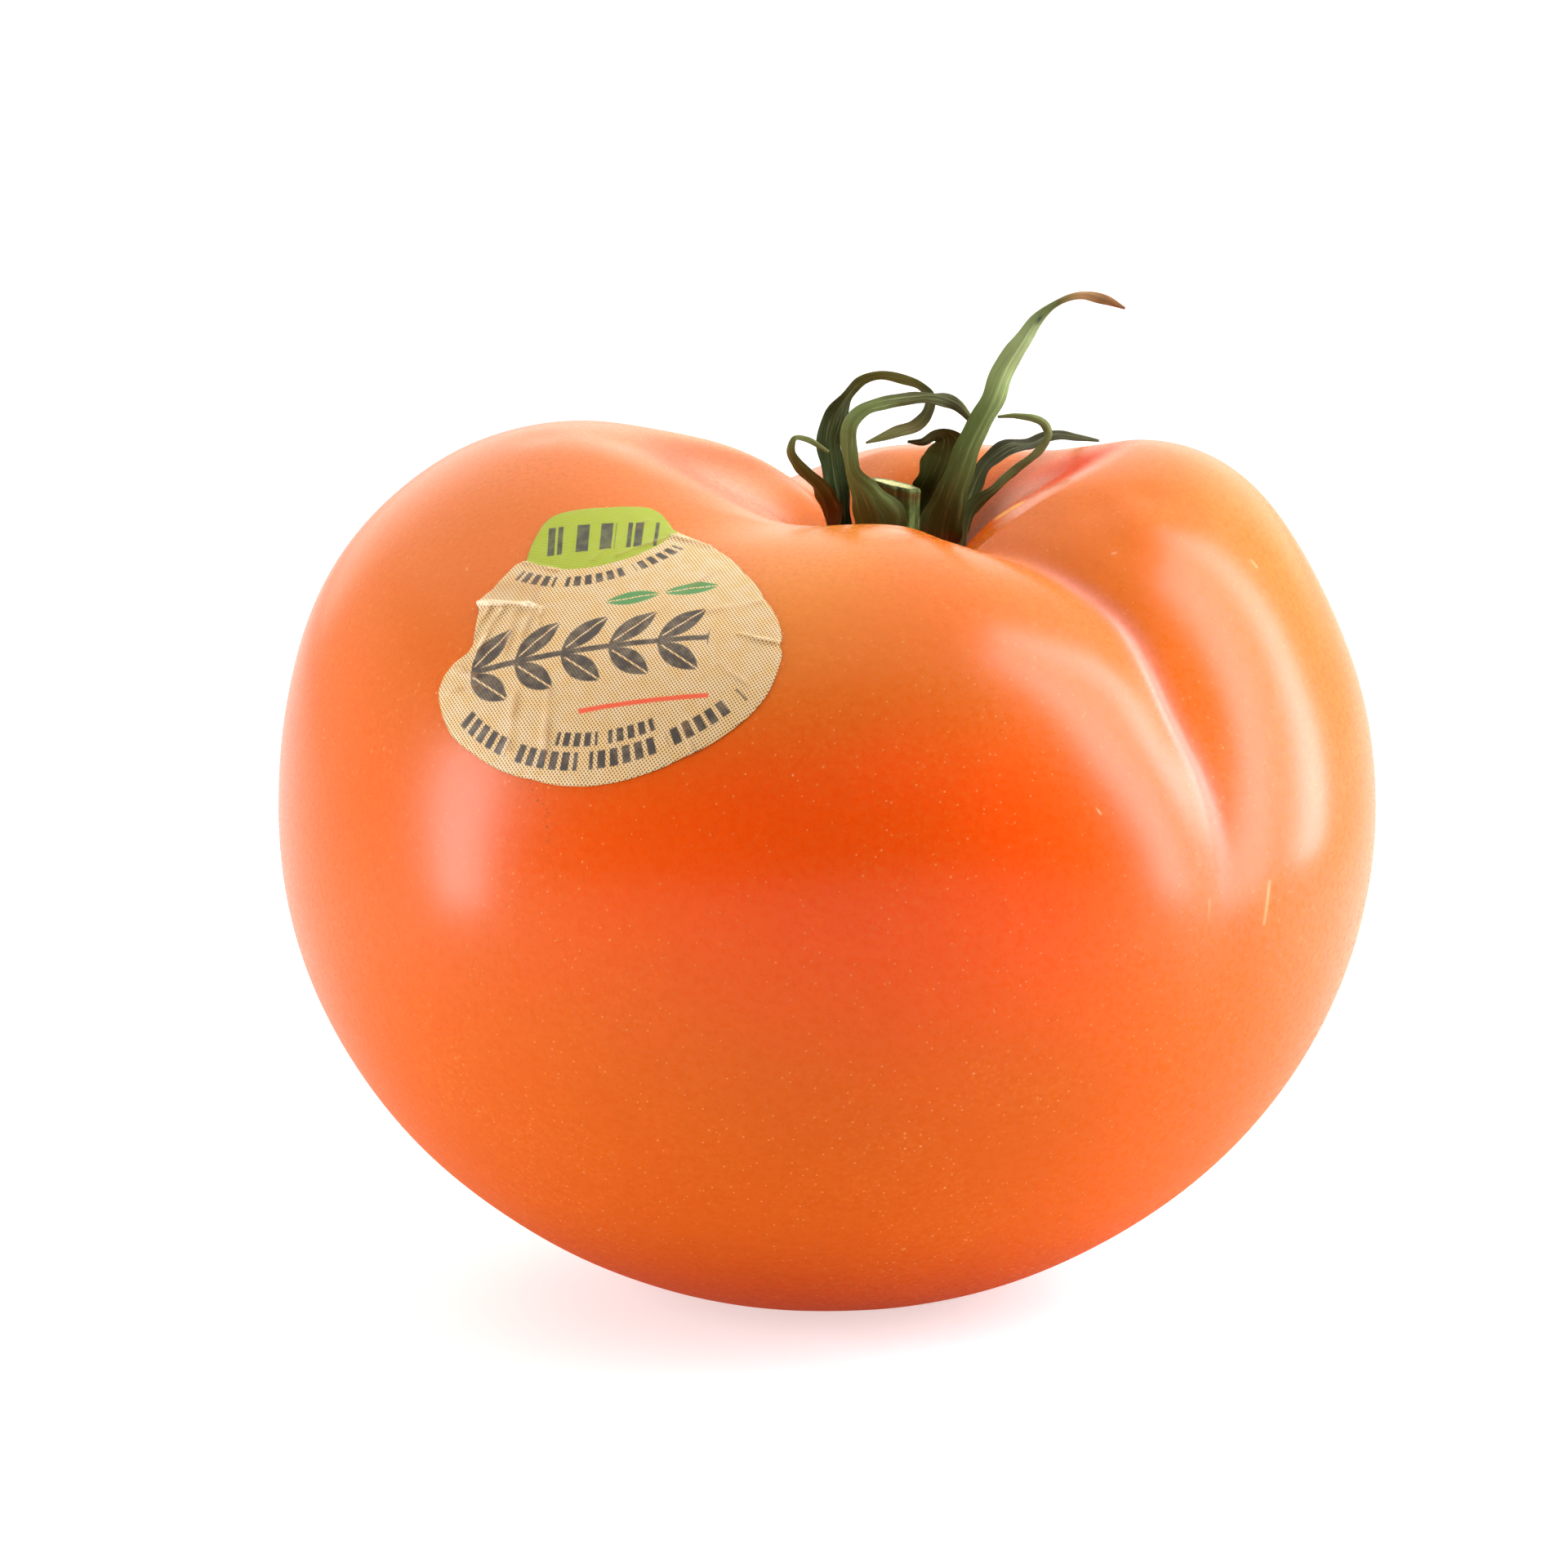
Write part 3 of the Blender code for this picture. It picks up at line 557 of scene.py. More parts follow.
# ---------------------------------------------------------------- stem and label forms
def pit_floor(radius):
    """Height of the dimple's floor: rim - depth exp(-(radius / width)^3.4)."""
    return RIM - PIT_DEPTH * np.exp(-(radius * FRUIT_WIDTH / FRUIT_DEPTH / PIT_WIDTH) ** PIT_SHARPNESS)


def stem_mesh():
    """Turned stub: a profile of radius and height from the seat over the disc's edge and up the
    neck, swelling r (1 + ribs cos(7 t)), then the slanting cut face sinking to a pale core."""
    seat, inner, outer, rim = (float(pit_floor(radius)) + SEAT_GAP
                               for radius in (0.0, 0.0014, 0.0028, DISC_RADIUS))
    top = RIM + STEM_PROUD
    knots = np.array([
        (0.05, seat), (1.4, inner), (2.8, outer), (3.95, rim), (4.0, rim + 0.0006), (3.3, rim + 0.0012),
        (2.5, rim + 0.0020), (2.05, rim + 0.0033), (1.85, RIM + 0.0002), (1.85, top - 0.0007),
        (1.93, top - 0.0001), (1.86, top + 0.00012), (1.62, top + 0.00002), (1.25, top - 0.00012),
        (0.9, top - 0.00002), (0.5, top - 0.0001), (0.05, top - 0.0003)])
    steps, around = 150, 144
    at = np.linspace(0, len(knots) - 1, steps)
    run = np.arange(len(knots), dtype=float)
    radius = np.interp(at, run, knots[:, 0])[:, None] * MM
    height = np.interp(at, run, knots[:, 1])[:, None]
    turn = np.linspace(0, math.tau, around, endpoint=False)[None, :]
    ribs = 0.045 * np.cos(7 * turn + 0.4) + 0.02 * np.cos(19 * turn) + 0.03 * np.cos(2 * turn + 1)
    cut_ring = 0.00009 * (at > 11)[:, None] * (1 + np.cos(13 * turn))
    radius = radius * (1 + ribs * np.clip(at / 8, 0, 1)[:, None]) - cut_ring
    x, y = radius * np.cos(turn), radius * np.sin(turn)
    slope = math.tan(math.radians(CUT_SLOPE))
    z = height - slope * x * smooth((height - RIM) / (top - 0.0007 - RIM))
    points = np.stack([x + STEM_OFFSET, y, z], -1)
    mesh = sheet_mesh("stem_stub", points, True, points[0].mean(0), points[-1].mean(0))
    tint(mesh, "stage", np.concatenate([np.repeat(at, around), [0, at[-1]]]))
    tint(mesh, "turn", np.concatenate([np.tile(np.cos(7 * turn[0]), len(at)), [0, 0]]))
    return mesh


LABEL_SPAN = 40.0   # mm across the label's UV square

# The label's edge: mm right of and above its middle, in order round it.
LABEL_EDGE = np.array((
    (14.0, -1.0), (13.8, 1.0), (13.3, 1.8), (13.4, 2.2), (12.6, 3.8), (10.3, 6.4), (7.4, 9.3), (4.4, 11.8),
    (1.5, 13.3), (-0.1, 13.9), (-0.8, 14.2), (-2.6, 16.0), (-3.2, 16.4), (-4.1, 16.5), (-6.7, 15.4),
    (-9.7, 13.9), (-10.4, 13.2), (-10.7, 12.2), (-10.7, 10.4), (-10.3, 7.7), (-11.0, 7.5), (-11.6, 6.0),
    (-12.0, 4.6), (-13.0, 3.2), (-12.5, 2.6), (-12.2, 0.7), (-11.9, -0.6), (-12.2, -1.4), (-13.1, -2.1),
    (-13.8, -3.1), (-14.0, -4.4), (-13.2, -6.1), (-11.8, -7.9), (-9.2, -9.5), (-6.6, -10.7), (-3.5, -11.4),
    (0.2, -11.8), (2.9, -11.5), (5.5, -10.7), (8.5, -9.1), (10.9, -7.4), (13.1, -4.7), (13.8, -3.0)))

# Creases raised in the paper: from and to in mm on the label, width and height in mm.
LABEL_CREASES = (
    (-12.9, 3.1, -8.2, 3.05, 0.22, 0.34), (-8.2, 3.05, -7.0, 2.8, 0.22, 0.3),
    (-7.0, 2.8, -6.5, 1.4, 0.25, 0.22), (-11.6, 2.6, -12.2, -0.6, 0.3, 0.22),
    (-10.4, 2.5, -11.2, -1.2, 0.34, 0.26), (-9.0, 2.4, -8.6, -1.6, 0.4, 0.2),
    (-7.6, 2.3, -7.6, -1.0, 0.3, 0.16), (-12.9, -2.6, -10.6, -3.4, 0.3, 0.2),
    (-12.6, -4.6, -10.4, -4.4, 0.28, 0.16), (10.0, 2.0, 13.4, 1.8, 0.2, 0.28),
    (9.4, -1.2, 12.4, -2.6, 0.3, 0.12), (-0.6, 13.2, 3.2, 12.4, 0.28, 0.24),
    (-3.2, 9.4, -0.4, 12.9, 0.22, 0.2), (-10.4, 7.5, -7.2, 6.9, 0.22, 0.2),
    (-3.6, -4.6, -2.6, -9.8, 0.4, 0.15), (-6.4, -5.0, -6.0, -9.2, 0.42, 0.14),
    (8.2, -6.4, 9.6, -8.6, 0.3, 0.16), (2.6, 3.0, 5.4, 9.2, 0.45, 0.1),
    (-4.8, 8.6, -3.0, 14.6, 0.3, 0.08), (6.8, 4.0, 10.4, 5.8, 0.4, 0.09))


def creases(u, v):
    """Sum of ridges over the label in mm: height exp(-(distance to a line piece / width)^2),
    and a step where the pleat laps over the left end."""
    total = np.zeros(u.shape)
    for x0, y0, x1, y1, width, height in LABEL_CREASES:
        dx, dy = x1 - x0, y1 - y0
        share = np.clip(((u - x0) * dx + (v - y0) * dy) / (dx * dx + dy * dy), 0, 1)
        apart = np.hypot(u - x0 - share * dx, v - y0 - share * dy)
        total = total + height * np.exp(-(apart / width) ** 2) * (0.7 + 0.3 * np.sin(share * 7 + x0))
    return total + 0.16 * smooth((v - 2.9) / 0.3) * smooth((-6.8 - u) / 1.6) * smooth((7.5 - v) / 4)


def label_mesh():
    """Paper disc laid on the skin: polar rings from its middle to the edge table's reach in each
    direction, lifted off the skin by the creases, then back underneath, closed at both middles."""
    spokes, rings = 720, 84
    angle = np.linspace(-math.pi, math.pi, spokes, endpoint=False)
    around = np.unwrap(np.arctan2(LABEL_EDGE[:, 1], LABEL_EDGE[:, 0]))
    reach = np.interp(angle, around, np.hypot(*LABEL_EDGE.T), period=math.tau)
    kernel = np.array([1, 2, 3, 2, 1]) / 9
    reach = sum(weight * np.roll(reach, shift) for weight, shift in zip(kernel, (-2, -1, 0, 1, 2)))
    share = np.concatenate([np.linspace(0.02, 0.975, rings), [0.99, 1.0, 0.996]])[:, None]
    u, v = share * reach * np.cos(angle), share * reach * np.sin(angle)
    direction, rise = np.float64(math.radians(LABEL_DIRECTION)), np.float64(LABEL_RISE)
    origin = skin(direction, rise)
    east, north = skin(direction + 0.001, rise) - origin, skin(direction, rise + 0.05) - origin
    normal = unit(np.cross(east, north))
    right = unit(np.cross((0.0, 0.0, 1.0), normal))
    over = np.cross(normal, right)
    target = np.stack([u, v], -1) * MM
    axes = np.stack([right, over], -1)
    theta, alpha = settle(np.full(u.shape, direction), np.full(u.shape, rise),
                          lambda point: (point - origin) @ axes - target)
    here = fine_skin(theta, alpha)
    out = unit(np.cross(fine_skin(theta + 0.001, alpha) - here, fine_skin(theta, alpha + 0.05) - here))
    lift = creases(u, v)
    body = 0.10 + lift + 0.02 * np.sin(u * 2.1 + v * 1.3) * np.sin(v * 1.7 - u)
    top = body * smooth((1.004 - share) / 0.016) + 0.06
    upper = here + out * (top * MM)[..., None]

    def folded(rows):
        """Every ninth of the rows, from the edge back to the middle, for the lower side."""
        return rows[::-1][2::9]

    def flat(values):
        """One value for each vertex, 0 at the two middles."""
        return np.concatenate([np.concatenate([values, folded(values)]).ravel(), [0, 0]])

    lower = folded(here + out * 0.00003)
    uv = np.stack([flat(u), flat(v)], -1) / LABEL_SPAN + 0.5
    mesh = sheet_mesh("paper_label", np.concatenate([upper, lower]), True,
                      upper[0].mean(0), lower[-1].mean(0), uv)
    tint(mesh, "raised", flat(lift))
    return mesh


def srgb(red, green, blue):
    """Colour as seen on a screen, 0-255, in the linear values that materials take."""
    return tuple(((c / 255 + 0.055) / 1.055) ** 2.4 for c in (red, green, blue))


def label_finish(settings):
    """Kraft paper with a fine two-colour dot screen, a green tab with plain bars, a leaf sprig in the middle,
    curved rows of dashes round the edge and paler creases, partly wear and partly a painted highlight on
    their ridges, with painted shade on their lower flanks."""
    f = Finish("label_print")
    across, along = f.split(f.add("ShaderNodeTexCoord", output=2))[:2]
    u, v = (across - 0.5) * LABEL_SPAN, (along - 0.5) * LABEL_SPAN
    here = f.where()
    fibre = f.noise(here, 900.0, 3.0, 0.6)
    raised = f.read("raised")
    screen = (u * 19.5).sine() * (v * 19.5).sine()
    dots = screen.ease(-0.10, 0.62)
    warm = f.blend(fibre.ease(0.35, 0.65), settings.paper_colour, srgb(222, 186, 128))
    colour = f.blend(dots, warm, srgb(122, 74, 36))
    gold = ((u * 19.5 + 1.57).sine() * (v * 19.5 + 1.57).sine()).ease(0.2, 0.8)
    colour = f.blend(gold * 0.50, colour, srgb(236, 196, 120))

    def turned(centre_u, centre_v, degrees):
        """Coordinates in mm about a place, turned."""
        c, s = math.cos(math.radians(degrees)), math.sin(math.radians(degrees))
        a, b = u - centre_u, v - centre_v
        return a * c + b * s, b * c - a * s

    def ring(centre_u, centre_v):
        """Distance in mm and direction in radians from a place."""
        a, b = u - centre_u, v - centre_v
        return (a * a + b * b) ** 0.5, b.math("ARCTAN2", b, a)

    def band(value, middle, half, soft=0.07):
        return abs(value - middle).ease(half - soft, half + soft, 1.0, 0.0)

    def zigzag(value, half):
        """Up from 0 to 1 and down again, each over a half."""
        return value.math("PINGPONG", value, half) / half

    def dashes(value, pitch, share, seed):
        """Uneven dashes along a coordinate in mm, with a wide gap now and then."""
        fine = zigzag(value, pitch / 2)
        gaps = (value * (math.tau / (pitch * 6.3)) + seed).sine()
        return fine.ease(share - 0.12, share + 0.12, 1.0, 0.0) * gaps.ease(-0.93, -0.84)

    ink = srgb(52, 46, 44)
    near, bearing = ring(-7.43, 14.29)
    tab = near.ease(7.10, 7.24, 1.0, 0.0)
    hatch = (v * 30.0).sine().ease(-0.2, 0.9)
    green = f.blend(hatch * 0.6, srgb(158, 168, 34), srgb(108, 128, 12))
    colour = f.blend(tab, colour, green)
    p, q = turned(-5.7, 11.45, 20.9)
    bars = zigzag(p + 0.30, 1.02).ease(0.38, 0.48) * band(q, 0.0, 1.75) * band(p, 0.0, 4.5)
    bars = bars * zigzag(p * 0.61 + 0.2, 0.45).ease(0.10, 0.18)

    upper = band(near, 8.62, 0.56) * dashes(bearing * 8.6, 0.86, 0.62, 0.4) * band(bearing, -1.10, 0.80, 0.02)
    far, low = ring(-0.9, 5.5)
    rim = band(far, 15.60, 0.66) * dashes(low * 15.6, 1.02, 0.64, 2.0) * band(low, -1.42, 0.82, 0.01)
    small = band(far, 14.0, 0.52) * dashes(low * 14.2, 0.90, 0.62, 1.1) * band(low, -1.36, 0.29, 0.01)

    p, q = turned(-1.7, -0.9, 13.5)
    side = abs(q)
    pair = f.add("ShaderNodeMath", {"operation": "WRAP"}, (p + 0.35, 1.95, -1.95))
    a = pair * 0.76 + (side - 1.65) * 0.65
    b = (side - 1.65) * 0.76 - pair * 0.65
    leaf = (abs(b) - (1.0 - (a / 2.3) * (a / 2.3)) * 0.98).ease(-0.07, 0.07, 1.0, 0.0)
    vein = abs(b).ease(0.03, 0.11).most((a + 1.9).ease(0.0, 0.2, 1.0, 0.0))
    sprig = (leaf * vein).most(band(q, 0.0, 0.26)) * band(p, 0.0, 9.75)
    printed = bars.most(upper).most(rim).most(small).most(sprig)
    p, q = turned(2.2, 5.6, 22.0)
    tips = abs(p) - 2.3
    green_leaf = (abs(q) - (1.0 - (tips / 2.2) * (tips / 2.2)) * 0.72).ease(-0.07, 0.07, 1.0, 0.0)
    colour = f.blend(green_leaf * abs(q).ease(0.03, 0.10) * 0.92, colour, srgb(44, 128, 62))
    p, q = turned(4.4, -5.1, 13.5)
    rule = band(q, 0.0, 0.20) * band(p, 0.0, 5.2)
    colour = f.blend(rule * 0.9, colour, srgb(224, 70, 36))
    worn = fibre.ease(0.30, 0.62, 0.80, 0.96)
    colour = f.blend(printed * worn, colour, ink)
    # Paler crease ridges: partly worn paper, partly a painted highlight.
    colour = f.blend(raised.ease(0.12, 0.30) * 0.58, colour, srgb(247, 226, 190))
    shade = raised.ease(0.02, 0.12) * raised.ease(0.12, 0.22, 1.0, 0.0) * 0.25
    colour = f.blend(shade, colour, srgb(150, 95, 45))
    f.set(Base_Color=colour, Roughness=fibre.ease(0.3, 0.7, 0.42, 0.60), Specular_IOR_Level=0.35,
          Normal=f.relief(fibre, 0.00004, 0.5))
    return f.material


def stem_finish():
    """Green stub with darker grooves, a painted brown shadow in a ring under the cut's lip and a pale cut
    face.
    """
    f = Finish("stem_green")
    here = f.where()
    stage, groove = f.read("stage"), f.read("turn")
    mottle = f.noise(here, 900.0, 3.0, 0.6)
    colour = f.blend(mottle.ease(0.35, 0.65), srgb(70, 84, 28), srgb(122, 138, 66))
    colour = f.blend(groove.ease(-1.0, 0.2, 0.55, 0.0), colour, srgb(42, 48, 16))
    colour = f.blend(stage.ease(4.0, 7.0, 0.7, 0.0), colour, srgb(52, 40, 14))
    # Painted shadow: a brown ring just under the cut's lip.
    colour = f.blend(stage.bell(9.4, 0.9) * 0.75, colour, srgb(104, 76, 30))
    face = f.blend(f.noise(here, 1500.0, 3.0, 0.7).ease(0.35, 0.7), srgb(222, 220, 160), srgb(176, 172, 96))
    colour = f.blend(stage.ease(10.6, 11.2), colour, f.blend(stage.ease(11.2, 12.0), srgb(84, 92, 34), face))
    colour = f.blend(stage.ease(14.2, 15.2) * 0.5, colour, srgb(198, 190, 120))
    f.set(Base_Color=colour, Roughness=mottle.ease(0.3, 0.7, 0.5, 0.7), Specular_IOR_Level=0.3,
          Normal=f.relief(mottle, 0.00012, 0.7))
    return f.material


# Colours along each sepal, from its root to its tip, with the light and shade on each part painted in.
SEPAL_COLOURS_AND_PAINTED_LIGHT = {
    "sepal_tall": ((0.10, (58, 50, 18)), (0.17, (92, 62, 22)), (0.20, (66, 78, 32)), (0.36, (82, 98, 46)),
                   (0.48, (92, 108, 54)), (0.58, (122, 136, 80)), (0.70, (138, 150, 98)),
                   (0.78, (104, 114, 66)), (0.83, (80, 78, 34)), (0.89, (158, 116, 72)),
                   (0.99, (124, 76, 44))),
    "sepal_arch": ((0.18, (70, 48, 16)), (0.22, (62, 76, 30)), (0.30, (84, 100, 46)), (0.44, (94, 110, 56)),
                   (0.57, (100, 112, 60)), (0.66, (84, 92, 42)), (0.76, (66, 64, 24)), (0.92, (50, 50, 16)),
                   (0.99, (74, 72, 28))),
    "sepal_curl": ((0.18, (40, 48, 20)), (0.30, (56, 70, 32)), (0.42, (58, 70, 32)), (0.52, (52, 56, 22)),
                   (0.60, (92, 100, 46)), (0.70, (102, 114, 60)), (0.76, (78, 90, 54)), (0.82, (76, 74, 36)),
                   (0.88, (104, 92, 50)), (0.99, (112, 110, 58))),
    "sepal_left": ((0.24, (84, 42, 12)), (0.42, (92, 58, 20)), (0.52, (86, 90, 38)), (0.68, (88, 96, 44)),
                   (0.80, (96, 102, 50)), (0.99, (112, 116, 66))),
    "sepal_hook": ((0.24, (58, 62, 26)), (0.40, (76, 88, 42)), (0.56, (62, 74, 32)), (0.68, (88, 100, 52)),
                   (0.80, (74, 74, 34)), (0.99, (58, 58, 26))),
    "sepal_right": ((0.22, (70, 54, 20)), (0.34, (64, 74, 34)), (0.48, (82, 92, 46)), (0.62, (92, 100, 54)),
                    (0.74, (104, 112, 64)), (0.99, (104, 108, 52))),
    "sepal_back": ((0.22, (66, 56, 22)), (0.38, (68, 76, 34)), (0.52, (50, 50, 24)), (0.66, (40, 38, 18)),
                   (0.80, (50, 48, 24)), (0.99, (58, 54, 28))),
}


def sepal_finish(name):
    """Dry green leaf: its colours run along it, with fine dark and pale ribs, a paler midrib, darker edges
    and mottling."""
    f = Finish(name + "_green")
    here = f.where()
    along, across, outside, run = (f.read(key) for key in ("along", "across", "outside", "run"))
    mottle = f.noise(here, 700.0, 3.0, 0.6)
    uneven = along + (mottle - 0.5) * 0.05
    stops = [(at, srgb(*colour)) for at, colour in SEPAL_COLOURS_AND_PAINTED_LIGHT[name]]
    # The ramp paints each sepal's light and shade along with its own greens and browns.
    colour = f.add("ShaderNodeValToRGB", {"stops": stops}, {"Fac": uneven})
    fibres = f.noise(f.join(run * 0.16, across * 5.5, outside), 1.0, 4.0, 0.65)
    colour = f.blend(fibres.ease(0.52, 0.74) * 0.36, colour, srgb(182, 194, 136))
    colour = f.blend(fibres.ease(0.28, 0.46, 1.0, 0.0) * 0.42, colour, srgb(46, 54, 20))
    colour = f.blend(abs(across).bell(0.0, 0.16) * 0.12, colour, srgb(160, 166, 108))
    colour = f.blend(mottle.ease(0.58, 0.76) * 0.28, colour, srgb(74, 80, 36))
    colour = f.blend(abs(across).ease(0.86, 1.0) * 0.18, colour, srgb(66, 62, 24))
    if name == "sepal_tall":
        spot = along.bell(0.765, 0.022) * (across - 0.25).bell(0.0, 0.55)
        colour = f.blend(spot.least(1.0) * 0.9, colour, srgb(40, 58, 52))
    f.set(Base_Color=colour, Roughness=mottle.ease(0.3, 0.7, 0.60, 0.80), Specular_IOR_Level=0.14,
          Normal=f.relief(fibres + mottle * 0.4, 0.00012, 0.8))
    return f.material


# ---------------------------------------------------------------- settings
def tone(name, description, default):
    """A colour setting, in linear values."""
    return FloatVectorProperty(name=name, description=description, subtype="COLOR", size=3, min=0, max=1,
                               default=default)


class TomatoFruitSettings(bpy.types.PropertyGroup):
    """Skin of the fruit."""
    ripe_colour: tone("Ripe colour", "Main colour of the skin", (0.565, 0.088, 0.002))
    deep_colour: tone("Deep colour", "Colour of the riper patches", (0.78, 0.066, 0.0006))
    underside_colour: tone("Underside colour", "Paler colour near the foot", (0.55, 0.083, 0.004))
    # Painted shade rather than a skin colour: it darkens the skin round the resting spot.
    foot_painted_shade: tone("Foot colour", "Darker skin round the resting spot", (0.42, 0.030, 0.001))
    golden_colour: tone("Golden colour", "Yellower skin round the dimple", (0.56, 0.152, 0.005))
    inner_colour: tone("Inner colour", "Redder skin on the dimple's wall", (0.60, 0.038, 0.002))
    speck_colour: tone("Speck colour", "Colour of the fine grain", (0.74, 0.18, 0.020))
    columns: IntProperty(name="Columns", description="Steps round the fruit", default=384, min=48, max=384)
    rows: IntProperty(name="Rows", description="Steps from the foot to the dimple", default=248,
                      min=32, max=250)


class TomatoCalyxSettings(bpy.types.PropertyGroup):
    """Sepals and stem stub."""
    sepal_thickness: FloatProperty(name="Sepal thickness", description="Thickness at the middle of a sepal",
                                   subtype="DISTANCE", unit="LENGTH", default=0.00032, min=0.0001, max=0.0006)


class TomatoLabelSettings(bpy.types.PropertyGroup):
    """Paper label."""
    paper_colour: tone("Paper colour", "Colour of the bare paper", (0.74, 0.55, 0.31))


class TomatoStageSettings(bpy.types.PropertyGroup):
    """Floor, lights and camera."""
    floor_size: FloatProperty(name="Floor size", description="Side of the square floor",
                              subtype="DISTANCE", unit="LENGTH", default=12.0, min=1.0, max=50.0)


# ---------------------------------------------------------------- operators
class TOMATO_OT_fruit(bpy.types.Operator):
    """Build the fruit's fine skin"""
    bl_idname = "tomato.fruit"
    bl_label = "Fruit"

    def execute(self, context):
        settings = context.scene.tomato_fruit
        theta = np.linspace(0, math.tau, settings.columns, endpoint=False)[None, :]
        share = np.linspace(0, 1, settings.rows)[1:-1, None]
        alpha = -90 + 270 * share
        points = fine_skin(theta, alpha)
        ends = fine_skin(np.float64(0), np.float64(-90)), fine_skin(np.float64(0), np.float64(180))
        mesh = sheet_mesh("fruit_skin", points, True, ends[0], ends[1])

        def level(rows):
            full = np.broadcast_to(rows, points.shape[:2])
            return np.concatenate([full.ravel(), full[0, :1], full[-1, :1]])

        def hill(centre, width, height, spread):
            return bump(theta, centre, width) * np.exp(-((alpha - height) / spread) ** 2)

        deep = hill(-88, 40, 8, 24) + 0.7 * hill(70, 46, 2, 30) + 0.5 * hill(178, 34, 12, 26)
        golden = (hill(-108, 24, 84, 17) + 0.75 * hill(-98, 12, 62, 22) + 0.5 * hill(112, 26, 96, 20)
                  + 0.35 * np.exp(-((alpha - 108) / 10) ** 2))
        inner = hill(-8, 46, 116, 15) + 0.6 * hill(170, 60, 118, 12)
        tint(mesh, "deep", level(deep))
        tint(mesh, "golden", level(golden))
        tint(mesh, "inner", level(inner))
        tint(mesh, "fold", level(crease_line(theta, alpha)))
        place(mesh, skin_finish(settings), "fruit")
        return {"FINISHED"}


class TOMATO_OT_sepals(bpy.types.Operator):
    """Build the seven sepals"""
    bl_idname = "tomato.sepals"
    bl_label = "Sepals"

    def execute(self, context):
        settings = context.scene.tomato_calyx
        for number, (name, spec) in enumerate(SEPALS.items()):
            mesh = sepal_mesh(name + "_leaf", spec, settings, number + 1)
            place(mesh, sepal_finish(name), name)
        return {"FINISHED"}


class TOMATO_OT_stem(bpy.types.Operator):
    """Build the cut stem stub and its disc"""
    bl_idname = "tomato.stem"
    bl_label = "Stem stub"

    def execute(self, context):
        place(stem_mesh(), stem_finish(), "stem")
        return {"FINISHED"}


class TOMATO_OT_label(bpy.types.Operator):
    """Build the creased paper label"""
    bl_idname = "tomato.label"
    bl_label = "Label"

    def execute(self, context):
        place(label_mesh(), label_finish(context.scene.tomato_label), "label")
        return {"FINISHED"}


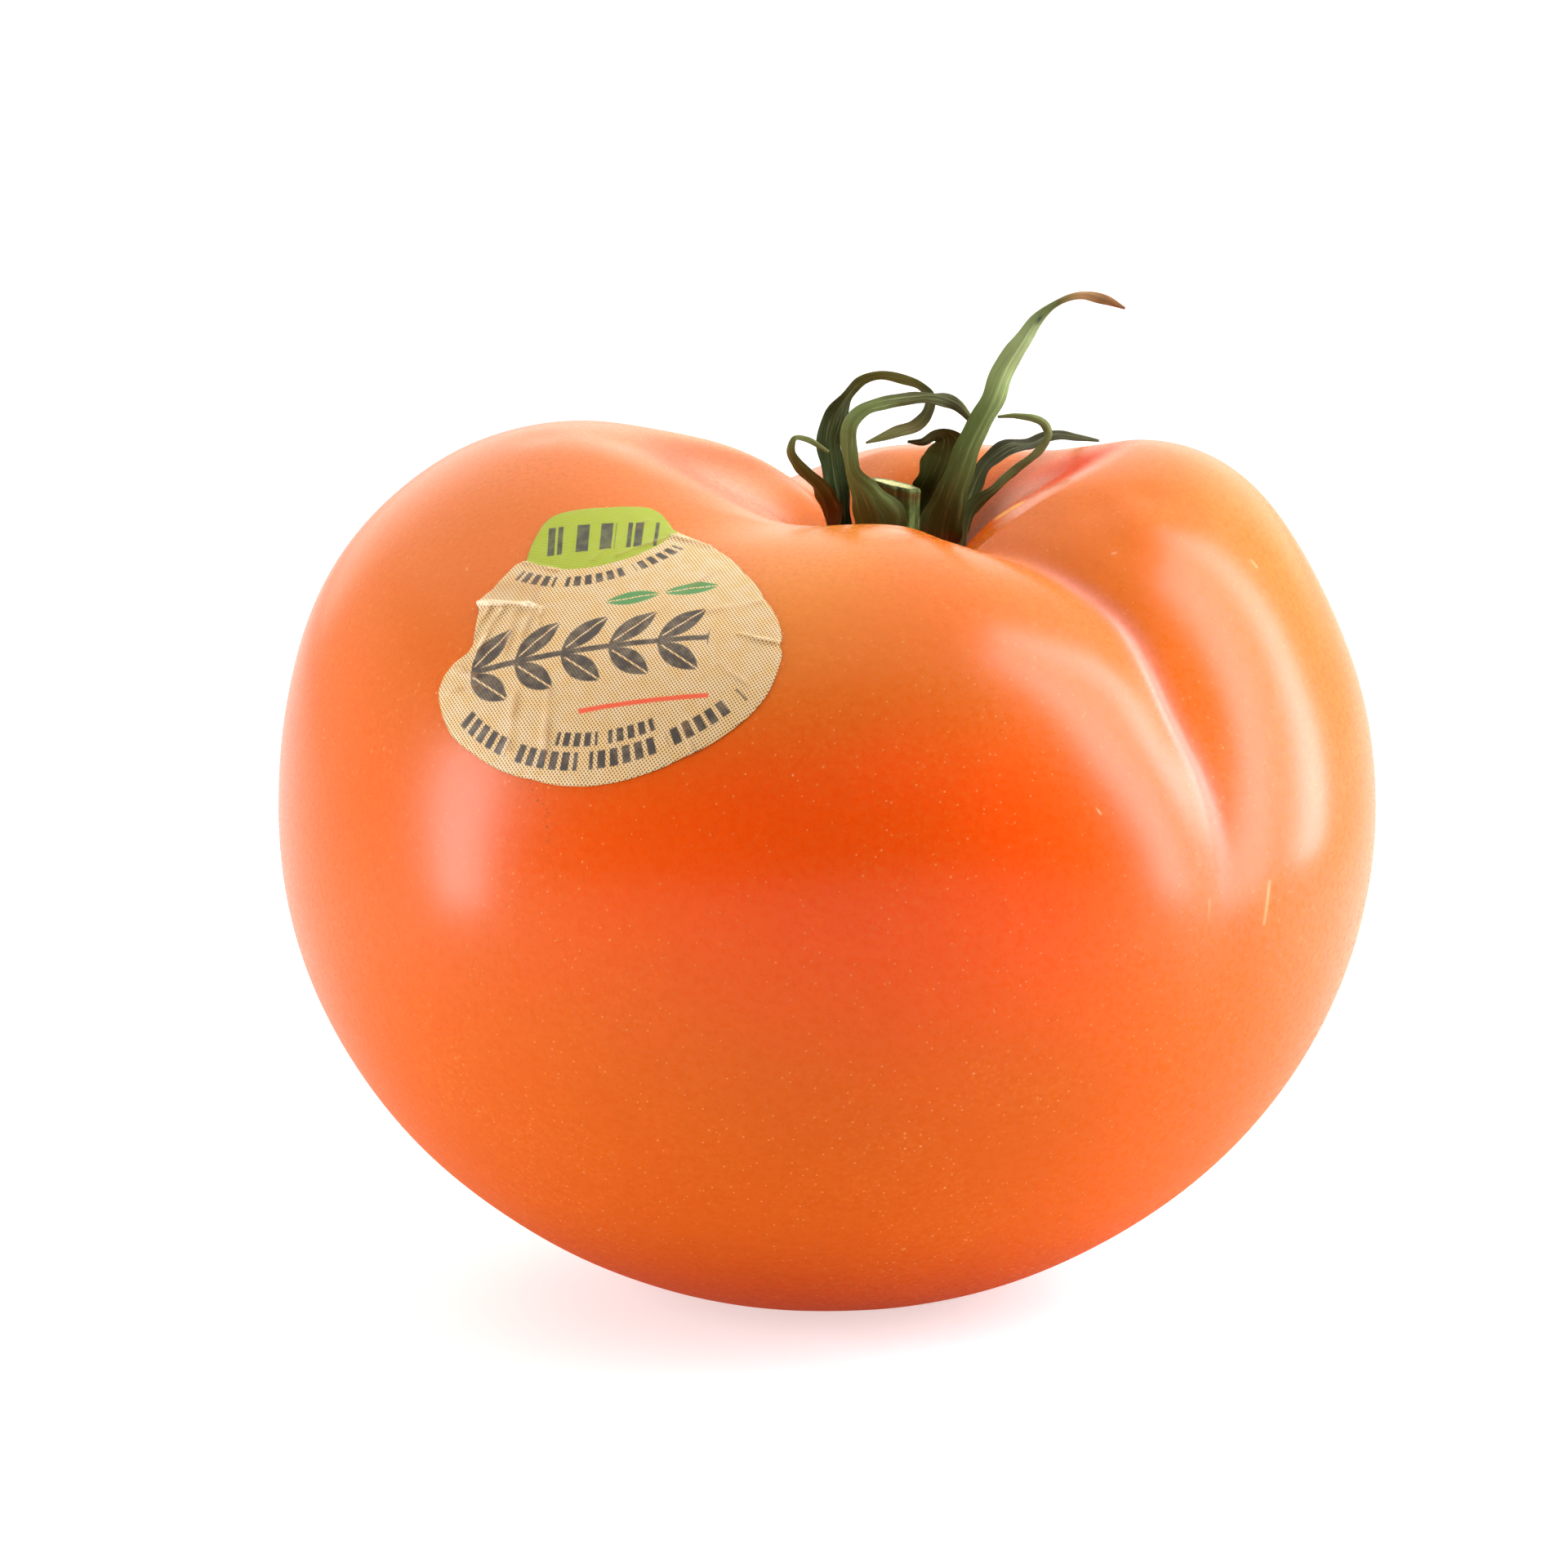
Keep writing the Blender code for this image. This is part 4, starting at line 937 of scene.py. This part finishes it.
class TOMATO_OT_stage(bpy.types.Operator):
    """Set up the floor, the soft lights and the camera"""
    bl_idname = "tomato.stage"
    bl_label = "Stage"

    def execute(self, context):
        settings = context.scene.tomato_stage
        scene = context.scene
        half = settings.floor_size / 2
        corners = np.array([[(-half, -half, 0), (half, -half, 0)],
                            [(-half, half, 0), (half, half, 0)]], float)
        mesh = sheet_mesh("floor", corners)
        floor = bpy.data.objects.new("floor", mesh)
        scene.collection.objects.link(floor)
        pale = Finish("pale_floor")
        pale.set(Base_Color=(0.62, 0.62, 0.62), Roughness=0.9, Emission_Color=(1.0, 0.99, 0.98),
                 Emission_Strength=0.58)
        mesh.materials.append(pale.material)

        world = bpy.data.worlds.new("soft_studio")
        scene.world = world
        world.use_nodes = True
        tree = world.node_tree
        sky = tree.nodes["Background"]
        turn = tree.nodes.new("ShaderNodeTexCoord")
        parts = tree.nodes.new("ShaderNodeSeparateXYZ")
        behind, above = (tree.nodes.new("ShaderNodeMapRange") for _ in range(2))
        spans = (behind, "Y", (-0.45, 0.40, 0.04, 0.96)), (above, "Z", (0.20, 1.0, 0.0, 0.52))
        for level, axis, span in spans:
            level.interpolation_type = "SMOOTHSTEP"
            for name, value in zip(("From Min", "From Max", "To Min", "To Max"), span):
                level.inputs[name].default_value = value
            tree.links.new(parts.outputs[axis], level.inputs["Value"])
        total = tree.nodes.new("ShaderNodeMath")
        for level, socket in zip((behind, above), total.inputs):
            tree.links.new(level.outputs[0], socket)
        tree.links.new(turn.outputs["Generated"], parts.inputs[0])
        tree.links.new(total.outputs[0], sky.inputs["Strength"])
        sky.inputs["Color"].default_value = (1.0, 0.96, 0.90, 1.0)

        def softbox(name, at, aim, size, power, colour=(1.0, 0.94, 0.85)):
            lamp = bpy.data.lights.new(name, "AREA")
            lamp.shape = "RECTANGLE"
            lamp.size, lamp.size_y = size
            lamp.energy, lamp.color = power, colour
            made = bpy.data.objects.new(name, lamp)
            made.location = at
            made.rotation_euler = (Vector(aim) - Vector(at)).to_track_quat("-Z", "Y").to_euler()
            scene.collection.objects.link(made)

        middle, white = (0, 0, 0.04), (0.93, 0.98, 1.12)
        softbox("softbox_overhead", (0.0, 1.2, 2.4), (0, 0.8, 0), (5.0, 4.0), 37.0)
        softbox("panel_left", (-1.3, 0.10, 0.42), middle, (1.5, 0.8), 1.7)
        softbox("panel_right", (1.3, 0.25, 0.42), middle, (1.5, 0.8), 0.8)
        softbox("panel_back", (0.0, 1.5, 0.60), middle, (2.4, 0.8), 6.0)
        softbox("strip_right", (0.1985, 0.031, 0.255), (0, 0.0, 0.255), (0.042, 0.48), 0.98, white)
        softbox("strip_front_right", (0.196, -0.046, 0.240), (0, 0.0, 0.240), (0.046, 0.46), 0.94, white)
        softbox("strip_left", (-0.190, -0.062, 0.066), (0, 0.0, 0.066), (0.036, 0.13), 0.24, white)

        tilt, distance, view_width = math.radians(10.0), 0.55, 0.12774
        forward = Vector((0, math.cos(tilt), -math.sin(tilt)))
        up = Vector((0, math.sin(tilt), math.cos(tilt)))
        aim = Vector((-0.00349, 0, 0.0398)) + up * 0.00133
        lens = bpy.data.cameras.new("camera")
        lens.sensor_width = 36.0
        lens.lens = lens.sensor_width * distance / view_width
        lens.clip_start, lens.clip_end = 0.01, 50.0
        camera = bpy.data.objects.new("camera", lens)
        camera.location = aim - forward * distance
        camera.rotation_euler = forward.to_track_quat("-Z", "Y").to_euler()
        scene.collection.objects.link(camera)
        scene.camera = camera
        scene.view_settings.view_transform = "Standard"
        return {"FINISHED"}


class TOMATO_PT_panel(bpy.types.Panel):
    """Sizes, colours and build steps of the tomato"""
    bl_label = "Tomato"
    bl_idname = "TOMATO_PT_panel"
    bl_space_type = "VIEW_3D"
    bl_region_type = "UI"
    bl_category = "Tomato"

    def draw(self, context):
        for group, _, operators in GROUPS:
            box = self.layout.box()
            settings = getattr(context.scene, group)
            for name in settings.__annotations__:
                box.prop(settings, name)
            for operator in operators:
                box.operator(operator)


GROUPS = (("tomato_stage", TomatoStageSettings, ("tomato.stage",)),
          ("tomato_fruit", TomatoFruitSettings, ("tomato.fruit",)),
          ("tomato_calyx", TomatoCalyxSettings, ("tomato.stem", "tomato.sepals")),
          ("tomato_label", TomatoLabelSettings, ("tomato.label",)))
CLASSES = (TomatoFruitSettings, TomatoCalyxSettings, TomatoLabelSettings, TomatoStageSettings,
           TOMATO_OT_stage, TOMATO_OT_fruit, TOMATO_OT_stem, TOMATO_OT_sepals, TOMATO_OT_label,
           TOMATO_PT_panel)


def register():
    for cls in CLASSES:
        bpy.utils.register_class(cls)
    for group, settings, _ in GROUPS:
        setattr(bpy.types.Scene, group, PointerProperty(type=settings))


def unregister():
    for group, _, _ in GROUPS:
        delattr(bpy.types.Scene, group)
    for cls in reversed(CLASSES):
        bpy.utils.unregister_class(cls)


def main():
    register()
    bpy.ops.tomato.stage()
    bpy.ops.tomato.fruit()
    bpy.ops.tomato.stem()
    bpy.ops.tomato.sepals()
    bpy.ops.tomato.label()


if __name__ == "__main__":
    main()
